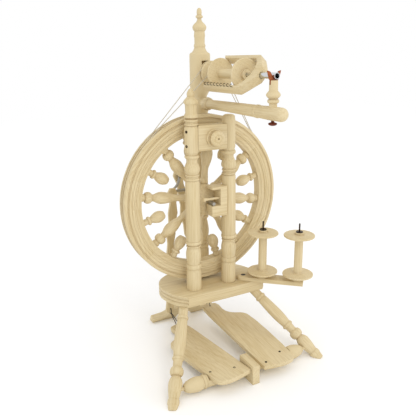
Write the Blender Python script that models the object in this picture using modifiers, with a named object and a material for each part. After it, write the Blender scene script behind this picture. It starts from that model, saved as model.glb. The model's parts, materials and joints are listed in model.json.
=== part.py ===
"""Upright spinning wheel with double treadle, flyer and a swing-out bobbin rack.

Run with: blender --background --python part.py
Sizes are in metres, +Z is up, the spinner sits at -Y. X = 0 is the wheel's axle and
Y = 0 the middle of its rim while the parts are made. The whole model then moves so
that it stands on Z = 0 with its box centred on the origin.
"""

import math

import bmesh
import bpy
from mathutils import Vector

MM = 0.001

# Clearances
GAP = 0.3 * MM            # between pieces that touch or are glued
RUNNING = 0.4 * MM        # round a pin or shaft that turns

# Drive wheel
WHEEL_RADIUS = 228.5 * MM
RIM_WIDTH = 48.5 * MM     # from the outside to the inside of the rim
RIM_THICKNESS = 40 * MM
GROOVE_DEPTH = 6 * MM     # two drive grooves in the rim's edge
GROOVE_Y = 5.5 * MM       # each groove from the rim's middle
HUB_RADIUS = 42 * MM
HUB_FRONT = 34 * MM        # reach of the hub to the front of the rim's middle
HUB_REAR = 27 * MM
SPOKES = 8                # long spokes, with a short one between each pair
SHORT_SPOKE = 62 * MM     # length of a short spoke
WHEEL_TURN = math.radians(8)
AXLE_RADIUS = 4.5 * MM
AXLE_FRONT = 70 * MM      # how far the axle reaches in front of the rim's middle

# Crank and footmen
CRANK_RADIUS = 45 * MM
CRANK_Y = 104.5 * MM
CRANK_ROD = 4 * MM        # radius of the crank's arms
LEFT_THROW = math.radians(180)
RIGHT_THROW = math.radians(109)
FOOTMAN_THICKNESS = 9 * MM
FOOTMAN_WIDTH = 28 * MM
LEFT_FOOTMAN_Y = 95 * MM
RIGHT_FOOTMAN_Y = 121.5 * MM
THONG_RADIUS = 1.2 * MM

# Table and front legs
TABLE_TOP = 185 * MM
WHEEL_CLEAR = 7.5 * MM     # between the table and the rim
AXLE_HEIGHT = TABLE_TOP + WHEEL_CLEAR + WHEEL_RADIUS
TABLE_THICKNESS = 30 * MM
TABLE_FRONT = -96 * MM
TABLE_BACK = 80 * MM
TABLE_LEFT = -131 * MM
TABLE_RIGHT = 155 * MM
LEG_TOP_LEFT = Vector((-98 * MM, -78 * MM, TABLE_TOP - TABLE_THICKNESS))
LEG_TOP_RIGHT = Vector((118 * MM, -76 * MM, TABLE_TOP - TABLE_THICKNESS))
LEFT_FOOT_X = -216 * MM
RIGHT_FOOT_X = 221 * MM
LEG_FOOT_Y = -254 * MM

# Rear foot, a leaning board with an arch
REAR_FOOT_TOP_Y = 66 * MM
REAR_FOOT_FLOOR_Y = 150 * MM
REAR_FOOT_HALF = 106 * MM
REAR_FOOT_NECK = 23 * MM
REAR_FOOT_THICKNESS = 22 * MM

# Posts
POST_X = 54 * MM
POST_Y = -53 * MM
POST_RADIUS = 18.4 * MM
ARM_Z = AXLE_HEIGHT + WHEEL_RADIUS + 22.5 * MM
CROSSBAR_HIGH = ARM_Z - 45 * MM
CROSSBAR_LOW = CROSSBAR_HIGH - 64 * MM
LEFT_POST_TOP = CROSSBAR_HIGH + 91 * MM
RIGHT_POST_TOP = CROSSBAR_HIGH + 23 * MM
CROSSBAR_THICKNESS = 28 * MM
KNOB_X = 3 * MM
KNOB_Z = CROSSBAR_LOW + 31 * MM
KNOB_RADIUS = 23 * MM
BLOCK_LOW = AXLE_HEIGHT - 35 * MM
BLOCK_HIGH = AXLE_HEIGHT + 45 * MM
BLOCK_LEFT = -6 * MM
NOTCH_LOW = AXLE_HEIGHT - 6 * MM
NOTCH_HIGH = AXLE_HEIGHT + 38 * MM
NOTCH_DEPTH = 25 * MM
PEG_RADIUS = 3 * MM
PEG_Z = AXLE_HEIGHT + 13 * MM

# Rear post and head
REAR_X = 26 * MM
REAR_Y = 50 * MM
REAR_RADIUS = 18.5 * MM
HEAD_LOW = ARM_Z - 29 * MM
HEAD_HEIGHT = 268 * MM
HEAD_RADIUS = 27.3 * MM
HEAD_COLLAR = 22.5 * MM

# Arm, maiden and flyer
FLYER_X = 29 * MM
FLYER_Z = ARM_Z + 78 * MM
ARM_RADIUS = 12 * MM
ARM_END_RADIUS = 15 * MM
MAIDEN_TENON = 5 * MM
TUBE_RADIUS = 7 * MM
SHAFT_RADIUS = 4 * MM
YOKE_ARM = 9 * MM        # thickness of an arm, outwards
YOKE_WIDTH = 22 * MM
FLYER_TURN = math.radians(42)
WHORL_RADIUS = 31 * MM
WHORL_GROOVE = 25 * MM
WHORL_LENGTH = 15 * MM
WHORL_Y = -6 * MM

# Bobbins
BOBBIN_LENGTH = 138 * MM
FLANGE_RADIUS = 42 * MM
FLYER_FLANGE = 37.5 * MM   # the bobbin on the flyer is slimmer
FLANGE = 5 * MM
BOBBIN_CORE = 11.4 * MM
BOBBIN_BORE = SHAFT_RADIUS + RUNNING
PULLEY_RADIUS = 19 * MM
PULLEY_GROOVE = 15.5 * MM
PULLEY_LENGTH = 14 * MM
BOBBIN_REAR = -39 * MM    # rear end of the bobbin that is on the flyer

# Flyer yoke, round the bobbin, and what stands in front of it
YOKE_TIP = BOBBIN_REAR + 3 * MM
YOKE_BEND = BOBBIN_REAR - BOBBIN_LENGTH - 17 * MM
YOKE_FRONT = YOKE_BEND - 43 * MM
YOKE_INSIDE = FLYER_FLANGE + 2 * MM     # from the axis to an arm's inner face
ORIFICE_Y = YOKE_FRONT - 56 * MM
MAIDEN_Y = ORIFICE_Y + 8 * MM
ARM_FRONT = MAIDEN_Y - 45 * MM

# Bobbin rack
RACK_PIVOT = Vector((96 * MM, -64 * MM, 0))
RACK_ANGLE = math.radians(-42)
RACK_WIDTH = 36 * MM
RACK_THICKNESS = 12 * MM
RACK_LENGTH = 168 * MM
RACK_FIRST = 54 * MM
RACK_SECOND = 152 * MM
RACK_PIN = 2.2 * MM
BOLT_RADIUS = 3.7 * MM
BOLT_HEAD = 6.5 * MM
RACK_PIN_TOP = TABLE_TOP + RACK_THICKNESS + BOBBIN_LENGTH + 26 * MM

# Treadles
BAR_Y = -229 * MM
BAR_Z = 22 * MM
BAR_RADIUS = 16 * MM
BAR_PIN = 4.5 * MM
BOARD_THICKNESS = 11 * MM
BOARD_RISE = 7 * MM       # from the bar's axis to the underside of a board
CENTRE_X = 5 * MM
CENTRE_WIDTH = 20 * MM
CENTRE_FRONT = -274 * MM
LEFT_EDGE = -8 * MM       # inner edge of the left board
RIGHT_EDGE = 31 * MM      # inner edge of the right board
FOOTREST = 100 * MM
TAIL = 45 * MM
TAIL_END = 300 * MM      # from the hinge to the end of a tail
FRONT_EDGE = 42 * MM      # from the hinge to the front of a board
SHOULDER = 194 * MM       # from the hinge to where a board narrows
LEFT_TIE = Vector((-64 * MM, LEFT_FOOTMAN_Y, 20 * MM))
RIGHT_TIE = Vector((50 * MM, RIGHT_FOOTMAN_Y, 44 * MM))
LEFT_FOOTMAN_LOW = 52 * MM
RIGHT_FOOTMAN_LOW = 96 * MM
LEFT_TILT = math.radians(-4.9)
RIGHT_TILT = math.radians(2.9)
LEFT_YAW = math.radians(4.6)

# Drive band
BAND_RADIUS = 1.1 * MM
BAND_LEAVES = 0.25        # share of a straight run over which the band stays in its groove

PARTS = None
CUTTERS = None


# ---------------------------------------------------------------- scene and materials

def clear_scene():
    for obj in list(bpy.data.objects):
        bpy.data.objects.remove(obj, do_unlink=True)


def new_collection(name):
    collection = bpy.data.collections.new(name)
    bpy.context.scene.collection.children.link(collection)
    return collection


def paint(obj, colour, roughness=0.6, metallic=0.0):
    """Gives the object a material of its own."""
    material = bpy.data.materials.new(obj.name)
    material.use_nodes = True
    shader = material.node_tree.nodes["Principled BSDF"]
    shader.inputs["Base Color"].default_value = (*colour, 1)
    shader.inputs["Roughness"].default_value = roughness
    shader.inputs["Metallic"].default_value = metallic
    obj.data.materials.clear()
    obj.data.materials.append(material)
    return obj


def wood(obj):
    return paint(obj, (0.70, 0.60, 0.40))


def steel(obj):
    return paint(obj, (0.55, 0.55, 0.55), 0.3, 1.0)


def dark_steel(obj):
    return paint(obj, (0.05, 0.04, 0.03), 0.45, 0.8)


def leather(obj):
    return paint(obj, (0.32, 0.10, 0.02), 0.7)


# ---------------------------------------------------------------- modelling helpers

def add(name, mesh, collection):
    obj = bpy.data.objects.new(name, mesh)
    collection.objects.link(obj)
    return obj


def pivot(name, location):
    empty = bpy.data.objects.new(name, None)
    empty.location = location
    PARTS.objects.link(empty)
    return empty


def attach(obj, parent):
    """Parents without moving: the parent is an empty with no turn of its own."""
    obj.parent = parent
    obj.location = obj.location - parent.location
    return obj


def finish(obj):
    """Shades a round piece smooth, with its corners kept sharp."""
    obj.data.shade_smooth()
    obj.data.set_sharp_from_angle(angle=math.radians(40))
    return obj


def turned(name, profile, steps=14, collection=None, closed=False):
    """A turned shape about local Z. The profile runs from top to bottom as (radius, z)."""
    count = len(profile)
    edges = [(i, i + 1) for i in range(count - 1)]
    if closed:
        edges.append((count - 1, 0))
    mesh = bpy.data.meshes.new(name)
    mesh.from_pydata([(r, 0, z) for r, z in profile], edges, [])
    obj = add(name, mesh, collection or PARTS)
    screw = obj.modifiers.new("turn", "SCREW")
    screw.axis = "Z"
    screw.steps = steps
    screw.render_steps = steps
    screw.use_merge_vertices = True
    screw.merge_threshold = 0.00001
    return obj


def to_mesh(obj):
    """The evaluated shape of a curve as a mesh object in the same place."""
    bpy.context.view_layer.update()
    graph = bpy.context.evaluated_depsgraph_get()
    mesh = bpy.data.meshes.new_from_object(obj.evaluated_get(graph))
    shape = bmesh.new()
    shape.from_mesh(mesh)
    bmesh.ops.remove_doubles(shape, verts=shape.verts, dist=0.00001)
    shape.to_mesh(mesh)
    shape.free()
    collection = obj.users_collection[0]
    name = obj.name
    place = obj.matrix_world.copy()
    bpy.data.objects.remove(obj, do_unlink=True)
    new = add(name, mesh, collection)
    new.matrix_world = place
    return new


def board(name, outline, thickness, smooth=False, collection=None):
    """A flat board in the XY plane, centred on its thickness. Smooth rounds the outline."""
    curve = bpy.data.curves.new(name, "CURVE")
    curve.dimensions = "2D"
    curve.fill_mode = "BOTH"
    curve.extrude = thickness / 2
    curve.resolution_u = 4
    spline = curve.splines.new("BEZIER" if smooth else "POLY")
    if smooth:
        spline.bezier_points.add(len(outline) - 1)
        for point, corner in zip(spline.bezier_points, outline):
            point.co = (corner[0], corner[1], 0)
            kind = "VECTOR" if len(corner) > 2 else "AUTO"
            point.handle_left_type = kind
            point.handle_right_type = kind
    else:
        spline.points.add(len(outline) - 1)
        for point, corner in zip(spline.points, outline):
            point.co = (corner[0], corner[1], 0, 1)
    spline.use_cyclic_u = True
    return to_mesh(add(name, curve, collection or PARTS))


def tube(name, points, radius, closed=False):
    """A wire or cord along the points."""
    curve = bpy.data.curves.new(name, "CURVE")
    curve.dimensions = "3D"
    curve.bevel_depth = radius
    curve.bevel_resolution = 2
    curve.use_fill_caps = not closed
    spline = curve.splines.new("POLY")
    spline.points.add(len(points) - 1)
    for point, place in zip(spline.points, points):
        point.co = (*place, 1)
    spline.use_cyclic_u = closed
    return add(name, curve, PARTS)


def box(name, low, high, collection=None):
    low = Vector(low)
    high = Vector(high)
    mesh = bpy.data.meshes.new(name)
    shape = bmesh.new()
    bmesh.ops.create_cube(shape, size=1)
    bmesh.ops.scale(shape, vec=high - low, verts=shape.verts)
    shape.to_mesh(mesh)
    shape.free()
    obj = add(name, mesh, collection or PARTS)
    obj.location = (low + high) / 2
    return obj


def rod(name, radius, start, end, collection=None, steps=20):
    """A plain cylinder from start to end."""
    start = Vector(start)
    end = Vector(end)
    mesh = bpy.data.meshes.new(name)
    shape = bmesh.new()
    bmesh.ops.create_cone(
        shape, cap_ends=True, segments=steps, radius1=radius, radius2=radius,
        depth=(end - start).length,
    )
    shape.to_mesh(mesh)
    shape.free()
    obj = add(name, mesh, collection or PARTS)
    obj.location = (start + end) / 2
    obj.rotation_euler = (end - start).to_track_quat("Z", "Y").to_euler()
    return obj


def boolean(obj, tool, operation):
    modifier = obj.modifiers.new(tool.name, "BOOLEAN")
    modifier.operation = operation
    modifier.solver = "EXACT"
    modifier.object = tool
    return obj


def cutter(tool):
    tool.hide_render = True
    tool.display_type = "WIRE"
    return tool


def cut_box(obj, name, low, high):
    return boolean(obj, cutter(box(name, low, high, CUTTERS)), "DIFFERENCE")


def cut_rod(obj, name, radius, start, end):
    return boolean(obj, cutter(rod(name, radius, start, end, CUTTERS)), "DIFFERENCE")


def join_rod(obj, name, radius, start, end):
    return boolean(obj, cutter(rod(name, radius, start, end, CUTTERS)), "UNION")


def along(obj, start, direction):
    """Puts a turned piece's top at start, with the piece running along direction."""
    obj.location = start
    obj.rotation_euler = (-Vector(direction)).to_track_quat("Z", "Y").to_euler()
    return obj


# ---------------------------------------------------------------- profile elements

def bead(radius, proud, top, height, points=2):
    """A half-round ring standing proud of radius."""
    angles = [math.pi * i / (points + 1) for i in range(points + 2)]
    middle = top - height / 2
    return [
        (radius + proud * math.sin(a), middle + height / 2 * math.cos(a)) for a in angles
    ]


def belly(radius_top, widest, radius_low, top, height, peak=0.5, points=3):
    """A vase swell: from radius_top to widest at the peak and on to radius_low."""
    found = []
    for i in range(points + 2):
        t = i / (points + 1)
        if t < peak:
            share = math.sin(math.pi / 2 * t / peak)
            radius = radius_top + (widest - radius_top) * share
        else:
            share = math.cos(math.pi / 2 * (t - peak) / (1 - peak))
            radius = radius_low + (widest - radius_low) * share
        found.append((radius, top - height * t))
    return found


def mm(points):
    return [(r * MM, z * MM) for r, z in points]


def fitted(profile, low, high):
    """Stretches a profile in height so that it runs from high down to low."""
    top = profile[0][1]
    bottom = profile[-1][1]
    stretch = (high - low) / (top - bottom)
    return [(r, low + (z - bottom) * stretch) for r, z in profile]


def smooth_route(points, count):
    """Evenly counted points on a smooth curve through the given ones."""
    ends = [2 * points[0] - points[1]] + list(points) + [2 * points[-1] - points[-2]]
    found = []
    for i in range(count):
        t = i * (len(points) - 1) / (count - 1)
        k = min(int(t), len(points) - 2)
        u = t - k
        a, b, c, d = ends[k:k + 4]
        found.append(
            0.5 * (2 * b + (c - a) * u + (2 * a - 5 * b + 4 * c - d) * u ** 2
                   + (3 * b - a - 3 * c + d) * u ** 3)
        )
    return found


# ---------------------------------------------------------------- base

def make_table():
    corner = 1
    left, right = TABLE_LEFT, TABLE_RIGHT
    front, back = TABLE_FRONT, TABLE_BACK
    outline = [
        (left + 39 * MM, front, corner),
        (right - 14 * MM, front, corner),
        (right - 1 * MM, front + 16 * MM),
        (right, -40 * MM),
        (right - 6 * MM, 0),
        (right - 24 * MM, 36 * MM),
        (right - 62 * MM, back - 11 * MM),
        (55 * MM, back),
        (-40 * MM, back),
        (left + 48 * MM, back - 13 * MM),
        (left + 14 * MM, 40 * MM),
        (left, 5 * MM),
        (left + 2 * MM, -30 * MM),
        (left + 16 * MM, -68 * MM),
    ]
    table = board("table", outline, TABLE_THICKNESS, smooth=True)
    table.location.z = TABLE_TOP - TABLE_THICKNESS / 2
    bolt = RACK_PIVOT
    cut_rod(table, "rack_bolt_hole", 4 * MM, bolt + Vector((0, 0, TABLE_TOP - 60 * MM)),
            bolt + Vector((0, 0, TABLE_TOP + 20 * MM)))
    return wood(table)


def foot_x(side):
    return RIGHT_FOOT_X if side > 0 else LEFT_FOOT_X


def make_front_leg(name, top, side):
    """side is -1 for the left leg and 1 for the right one."""
    foot = Vector((foot_x(side), LEG_FOOT_Y, 0))
    axis = foot - top
    nominal = 262 * MM
    stretch = axis.length / nominal
    profile = [(0, 24 * MM)]
    profile += mm([(12.3, 24), (12.3, -30)])
    profile += bead(12.5 * MM, 2.5 * MM, -31 * MM, 9 * MM, 2)
    profile += belly(13.2 * MM, 15.6 * MM, 13 * MM, -42 * MM, 96 * MM, 0.6)
    profile += bead(13 * MM, 2.2 * MM, -140 * MM, 8 * MM, 2)
    profile += mm([(11.6, -152), (11.1, -161)])
    profile += bead(11.2 * MM, 6 * MM, -166 * MM, 22 * MM)
    profile += belly(11 * MM, 17.2 * MM, 12.8 * MM, -189 * MM, 50 * MM, 0.33)
    profile += bead(12.6 * MM, 1.8 * MM, -nominal + 19 * MM, 14 * MM, 2)
    profile += [(10.6 * MM, -nominal - 8 * MM), (0, -nominal - 8 * MM)]
    profile = [(r, z * stretch) for r, z in profile]
    leg = along(turned(name, profile, 12), top, axis)
    under = TABLE_TOP - TABLE_THICKNESS - GAP
    cut_box(leg, name + "_top_cut", (top.x - 0.1, top.y - 0.1, under),
            (top.x + 0.1, top.y + 0.1, under + 0.1))
    cut_box(leg, name + "_floor_cut", foot + Vector((-0.1, -0.1, -0.1)),
            foot + Vector((0.1, 0.1, 0)))
    share = BAR_Z / top.z
    centre = foot + (top - foot) * share
    reach = 12 * MM
    cut_rod(leg, name + "_bar_hole", BAR_PIN + RUNNING,
            (centre.x - side * 4 * MM, BAR_Y, BAR_Z),
            (centre.x - side * (reach + 30 * MM), BAR_Y, BAR_Z))
    return wood(leg)


def make_rear_foot():
    """Leaning board: feet at its ends, an arch between them and a neck up to the table."""
    rise = TABLE_TOP - TABLE_THICKNESS
    run = REAR_FOOT_FLOOR_Y - REAR_FOOT_TOP_Y
    length = math.hypot(rise, run)
    lean = math.atan2(run, rise)
    half = REAR_FOOT_HALF
    neck = REAR_FOOT_NECK
    right = [
        (36 * MM, -20 * MM),
        (half, -20 * MM),
        (half, 17 * MM),
        (half - 34 * MM, 21 * MM),
        (half - 46 * MM, 27 * MM),
        (half - 53 * MM, 37 * MM),
        (half - 56 * MM, 46 * MM),
        (neck + 12 * MM, 55 * MM),
        (neck + 2 * MM, 62 * MM),
        (neck, 72 * MM),
        (neck, length + 20 * MM),
    ]
    left = [(-x, y) for x, y in reversed(right)]
    arch = [(-36 * MM + i * 12 * MM, 26 * MM * math.sin(math.pi * i / 6)) for i in range(1, 6)]
    foot = board("rear_foot", right + left + arch, REAR_FOOT_THICKNESS)
    foot.rotation_euler = (math.pi / 2 + lean, 0, 0)
    foot.location = (0, REAR_FOOT_FLOOR_Y, 0)
    cut_box(foot, "rear_foot_top_cut", (-0.2, -0.1, rise - GAP), (0.2, 0.3, rise + 0.1))
    cut_box(foot, "rear_foot_floor_cut", (-0.2, -0.1, -0.1), (0.2, 0.3, 0))
    return wood(foot)


# ---------------------------------------------------------------- posts and blocks

def lower_post(cylinder_top):
    """The turning that both front posts share, down to the table, below cylinder_top."""
    profile = [(18.6 * MM, cylinder_top), (19.4 * MM, 326 * MM)]
    profile += bead(18.6 * MM, 1.8 * MM, 324 * MM, 9 * MM, 2)
    profile += mm([(16.8, 313)])
    profile += bead(17 * MM, 2.2 * MM, 312 * MM, 5 * MM, 1)
    profile += belly(17 * MM, 20.4 * MM, 18 * MM, 305 * MM, 43 * MM, 0.45, 3)
    profile += bead(17.6 * MM, 2.8 * MM, 259 * MM, 14 * MM, 2)
    profile += mm([(18, 242), (19.7, 237)])
    profile += mm([(20, 185), (0, 185)])
    return profile


def make_left_post():
    profile = mm([(0, 718), (5, 715)])
    profile += belly(6.5 * MM, 9.8 * MM, 9 * MM, 712 * MM, 14 * MM, 0.6, 2)
    profile += mm([(12.3, 694), (17.8, 688), (17.9, 681), (14.6, 679), (14.2, 658)])
    profile += mm([(17.3, 653), (17.3, 647), (12.6, 645)])
    profile += bead(15 * MM, 2.4 * MM, 643 * MM, 6 * MM, 1)
    profile += bead(15 * MM, 2.4 * MM, 633 * MM, 6 * MM, 1)
    profile += mm([(17.9, 622), (18.2, 561), (15.3, 557)])
    profile += bead(15.5 * MM, 3 * MM, 554 * MM, 9 * MM, 2)
    profile += mm([(14.2, 542), (14.2, 538)])
    profile += belly(14.4 * MM, 19.9 * MM, 16.6 * MM, 534 * MM, 28 * MM, 0.62, 3)
    profile += bead(16.4 * MM, 2 * MM, 504 * MM, 5 * MM, 1)
    profile += bead(16.4 * MM, 2 * MM, 495 * MM, 7 * MM, 1)
    profile += lower_post(483 * MM)
    profile = fitted(profile, TABLE_TOP + GAP, LEFT_POST_TOP)
    post = turned("front_post_left", profile, 12)
    post.location = (-POST_X, POST_Y, 0)
    return wood(post)


def make_right_post():
    profile = mm([(0, 650), (10.3, 649), (16.2, 645), (16.2, 638), (17.2, 636), (17.4, 566), (15.5, 560)])
    profile += bead(15.7 * MM, 2.8 * MM, 557 * MM, 10 * MM, 2)
    profile += mm([(13.2, 545), (13.1, 541)])
    profile += belly(13.2 * MM, 19.8 * MM, 16 * MM, 538 * MM, 29 * MM, 0.7, 3)
    profile += bead(16 * MM, 2.5 * MM, 507 * MM, 5 * MM, 1)
    profile += bead(16 * MM, 2.6 * MM, 498 * MM, 6 * MM, 1)
    profile += lower_post(489 * MM)
    profile = fitted(profile, TABLE_TOP + GAP, RIGHT_POST_TOP)
    post = turned("front_post_right", profile, 12)
    post.location = (POST_X, POST_Y, 0)
    return wood(post)


def make_crossbar():
    front = POST_Y - CROSSBAR_THICKNESS / 2
    bar = box("crossbar", (-POST_X, front, CROSSBAR_LOW),
              (POST_X, front + CROSSBAR_THICKNESS, CROSSBAR_HIGH))
    for side in (-1, 1):
        cut_rod(bar, f"crossbar_post_{side + 1}", POST_RADIUS + GAP,
                (side * POST_X, POST_Y, CROSSBAR_LOW - 0.02),
                (side * POST_X, POST_Y, CROSSBAR_HIGH + 0.02))
    cut_rod(bar, "knob_hole", 5 * MM + RUNNING, (KNOB_X, front - 0.01, KNOB_Z),
            (KNOB_X, front + 0.018, KNOB_Z))
    return wood(bar)


def make_knob(axis):
    """Turned knob with a base ring and a ringed face, on a stub in the crossbar."""
    radius = KNOB_RADIUS
    profile = [(0, 24 * MM), (3 * MM, 25 * MM), (radius - 12 * MM, 24 * MM)]
    profile += [(radius - 6 * MM, 22.5 * MM), (radius - 3 * MM, 19 * MM)]
    profile += [(radius - 6 * MM, 12 * MM), (radius - 7 * MM, 9 * MM), (radius, 6 * MM)]
    profile += [(radius, 1 * MM), (radius - 1 * MM, GAP)]
    profile += [(5 * MM, GAP), (5 * MM, -16 * MM), (0, -16 * MM)]
    knob = turned("crossbar_knob", profile, 16)
    knob.rotation_euler = (math.pi / 2, 0, 0)
    knob.location = (KNOB_X, POST_Y - CROSSBAR_THICKNESS / 2, KNOB_Z)
    return wood(attach(knob, axis))


def make_front_block():
    """Bearing block on the right post, with a notch that the axle lies in."""
    block = box("front_bearing_block", (BLOCK_LEFT, POST_Y - 19 * MM, BLOCK_LOW),
                (POST_X - 15 * MM, POST_Y + 16 * MM, BLOCK_HIGH))
    cut_rod(block, "front_block_post", 19.2 * MM + GAP,
            (POST_X, POST_Y, BLOCK_LOW - 0.02), (POST_X, POST_Y, BLOCK_HIGH + 0.02))
    cut_box(block, "front_block_notch", (BLOCK_LEFT - 0.01, -0.1, NOTCH_LOW),
            (BLOCK_LEFT + NOTCH_DEPTH, 0, NOTCH_HIGH))
    cut_rod(block, "peg_hole", PEG_RADIUS + RUNNING,
            (BLOCK_LEFT + NOTCH_DEPTH - 0.01, POST_Y - 10 * MM, PEG_Z),
            (BLOCK_LEFT + NOTCH_DEPTH + 9 * MM, POST_Y - 10 * MM, PEG_Z))
    return wood(block)


def make_peg(axis):
    """Keeper peg across the notch, above the axle."""
    length = 56 * MM
    profile = mm([(0, 0), (4.6, -0.6), (6, -2.5), (4.4, -8), (3, -13)])
    profile += [(PEG_RADIUS, -length), (0, -length)]
    peg = turned("keeper_peg", profile, 14)
    inner = BLOCK_LEFT + NOTCH_DEPTH + 8 * MM
    along(peg, (inner - length, POST_Y - 10 * MM, PEG_Z), (1, 0, 0))
    return wood(attach(peg, axis))


def make_rear_post():
    profile = mm([(0, 643), (16, 643), (18.5, 636), (18.5, 600), (16.5, 596)])
    profile += bead(16.5 * MM, 2.2 * MM, 594 * MM, 8 * MM, 1)
    profile += belly(15 * MM, 19.5 * MM, 16.5 * MM, 582 * MM, 42 * MM, 0.6, 3)
    profile += bead(16.5 * MM, 2 * MM, 538 * MM, 7 * MM, 1)
    profile += mm([(REAR_RADIUS / MM, 526), (REAR_RADIUS / MM, 360)])
    profile += bead(16.5 * MM, 2.4 * MM, 356 * MM, 8 * MM, 1)
    profile += belly(14.5 * MM, 19.5 * MM, 16.8 * MM, 344 * MM, 60 * MM, 0.6, 4)
    profile += bead(16.8 * MM, 2.2 * MM, 281 * MM, 9 * MM, 1)
    profile += bead(16.8 * MM, 2.2 * MM, 268 * MM, 9 * MM, 1)
    profile += mm([(19, 252), (19, 185), (0, 185)])
    profile = fitted(profile, TABLE_TOP + GAP, HEAD_LOW - GAP)
    post = turned("rear_post", profile, 12)
    post.location = (REAR_X, REAR_Y, 0)
    return wood(post)


def make_rear_block():
    block = box("rear_bearing_block", (-17 * MM, REAR_Y - 12 * MM, AXLE_HEIGHT - 28 * MM),
                (REAR_X - 6 * MM, REAR_Y + 14 * MM, AXLE_HEIGHT + 28 * MM))
    cut_rod(block, "rear_block_post", REAR_RADIUS + GAP,
            (REAR_X, REAR_Y, AXLE_HEIGHT - 0.06), (REAR_X, REAR_Y, AXLE_HEIGHT + 0.06))
    cut_rod(block, "rear_block_bore", AXLE_RADIUS + RUNNING,
            (0, REAR_Y - 0.04, AXLE_HEIGHT), (0, REAR_Y + 0.04, AXLE_HEIGHT))
    return wood(block)


# ---------------------------------------------------------------- drive wheel

def make_rim(axis):
    """Ring with a stepped front face and a drive groove round its edge."""
    outer = WHEEL_RADIUS
    inner = WHEEL_RADIUS - RIM_WIDTH
    half = RIM_THICKNESS / 2
    profile = [
        (outer - 5 * MM, half),
        (outer, half - 4 * MM),
        (outer, 9.5 * MM),
        (outer - GROOVE_DEPTH, GROOVE_Y + 2 * MM),
        (outer - GROOVE_DEPTH, GROOVE_Y - 2 * MM),
        (outer, 1.5 * MM),
        (outer, -1.5 * MM),
        (outer - GROOVE_DEPTH, -GROOVE_Y + 2 * MM),
        (outer - GROOVE_DEPTH, -GROOVE_Y - 2 * MM),
        (outer, -9.5 * MM),
        (outer, -half + 4 * MM),
        (outer - 5 * MM, -half),
        (inner + 12 * MM, -half),
        (inner, -half + 7 * MM),
        (inner, half - 7 * MM),
        (inner + 5 * MM, half - 6 * MM),
        (inner + 9 * MM, half - 3 * MM),
        (inner + 16 * MM, half - 3 * MM),
        (inner + 18 * MM, half - 0.5 * MM),
        (outer - 14 * MM, half - 0.5 * MM),
        (outer - 12 * MM, half - 2.5 * MM),
        (outer - 10 * MM, half - 2.5 * MM),
        (outer - 8 * MM, half),
    ]
    rim = turned("wheel_rim", profile, 42, closed=True)
    rim.rotation_euler = (math.pi / 2, 0, 0)
    return wood(attach_local(rim, axis))


def attach_local(obj, parent):
    """Parents an object whose location is already counted from the parent."""
    obj.parent = parent
    return obj


def make_hub(axis):
    front = HUB_FRONT
    rear = -HUB_REAR
    radius = HUB_RADIUS
    profile = [(AXLE_RADIUS + GAP, front), (radius - 22 * MM, front - 1 * MM)]
    profile += [(radius - 8 * MM, front - 7 * MM), (radius - 3 * MM, front - 11 * MM)]
    profile += [(radius, front - 16 * MM), (radius, rear + 12 * MM)]
    profile += [(radius - 4 * MM, rear + 5 * MM), (radius - 22 * MM, rear)]
    profile += [(AXLE_RADIUS + GAP, rear)]
    hub = turned("wheel_hub", profile, 24, closed=True)
    hub.rotation_euler = (math.pi / 2, 0, 0)
    return wood(attach_local(hub, axis))


def long_spoke_profile():
    """From the rim (top) down to the hub."""
    outer = WHEEL_RADIUS - RIM_WIDTH - 4 * GAP
    inner = HUB_RADIUS + GAP
    profile = [(0, outer), (10 * MM, outer)]
    profile += [(10.5 * MM, outer - 5 * MM), (9 * MM, outer - 9 * MM)]
    profile += bead(9 * MM, 6.5 * MM, outer - 10 * MM, 20 * MM, 2)
    profile += [(9 * MM, outer - 33 * MM)]
    profile += belly(10 * MM, 16 * MM, 9 * MM, outer - 38 * MM, 56 * MM, 0.35, 4)
    profile += [(8.5 * MM, inner + 12 * MM), (11 * MM, inner + 9 * MM)]
    profile += [(11 * MM, inner), (0, inner)]
    return profile


def short_spoke_profile():
    outer = WHEEL_RADIUS - RIM_WIDTH - 4 * GAP
    inner = outer - SHORT_SPOKE
    profile = [(0, outer), (9 * MM, outer), (8 * MM, outer - 12 * MM)]
    profile += bead(8.5 * MM, 3.5 * MM, outer - 13 * MM, 8 * MM, 1)
    profile += belly(8.5 * MM, 15.5 * MM, 9 * MM, outer - 24 * MM, 38 * MM, 0.55, 4)
    profile += [(0, inner)]
    return profile


def make_spokes(axis):
    """Long and short spokes in turn round the wheel, each a piece of its own."""
    for i in range(2 * SPOKES):
        long = i % 2 == 0
        name = f"long_spoke_{i // 2 + 1}" if long else f"short_spoke_{i // 2 + 1}"
        profile = long_spoke_profile() if long else short_spoke_profile()
        spoke = turned(name, profile, 8)
        angle = WHEEL_TURN + math.pi * i / SPOKES
        spoke.rotation_euler = (0, angle, 0)
        wood(attach_local(spoke, axis))


def throw(angle):
    """Where a crank throw lies from the axle."""
    return Vector((CRANK_RADIUS * math.cos(angle), 0, CRANK_RADIUS * math.sin(angle)))


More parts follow.
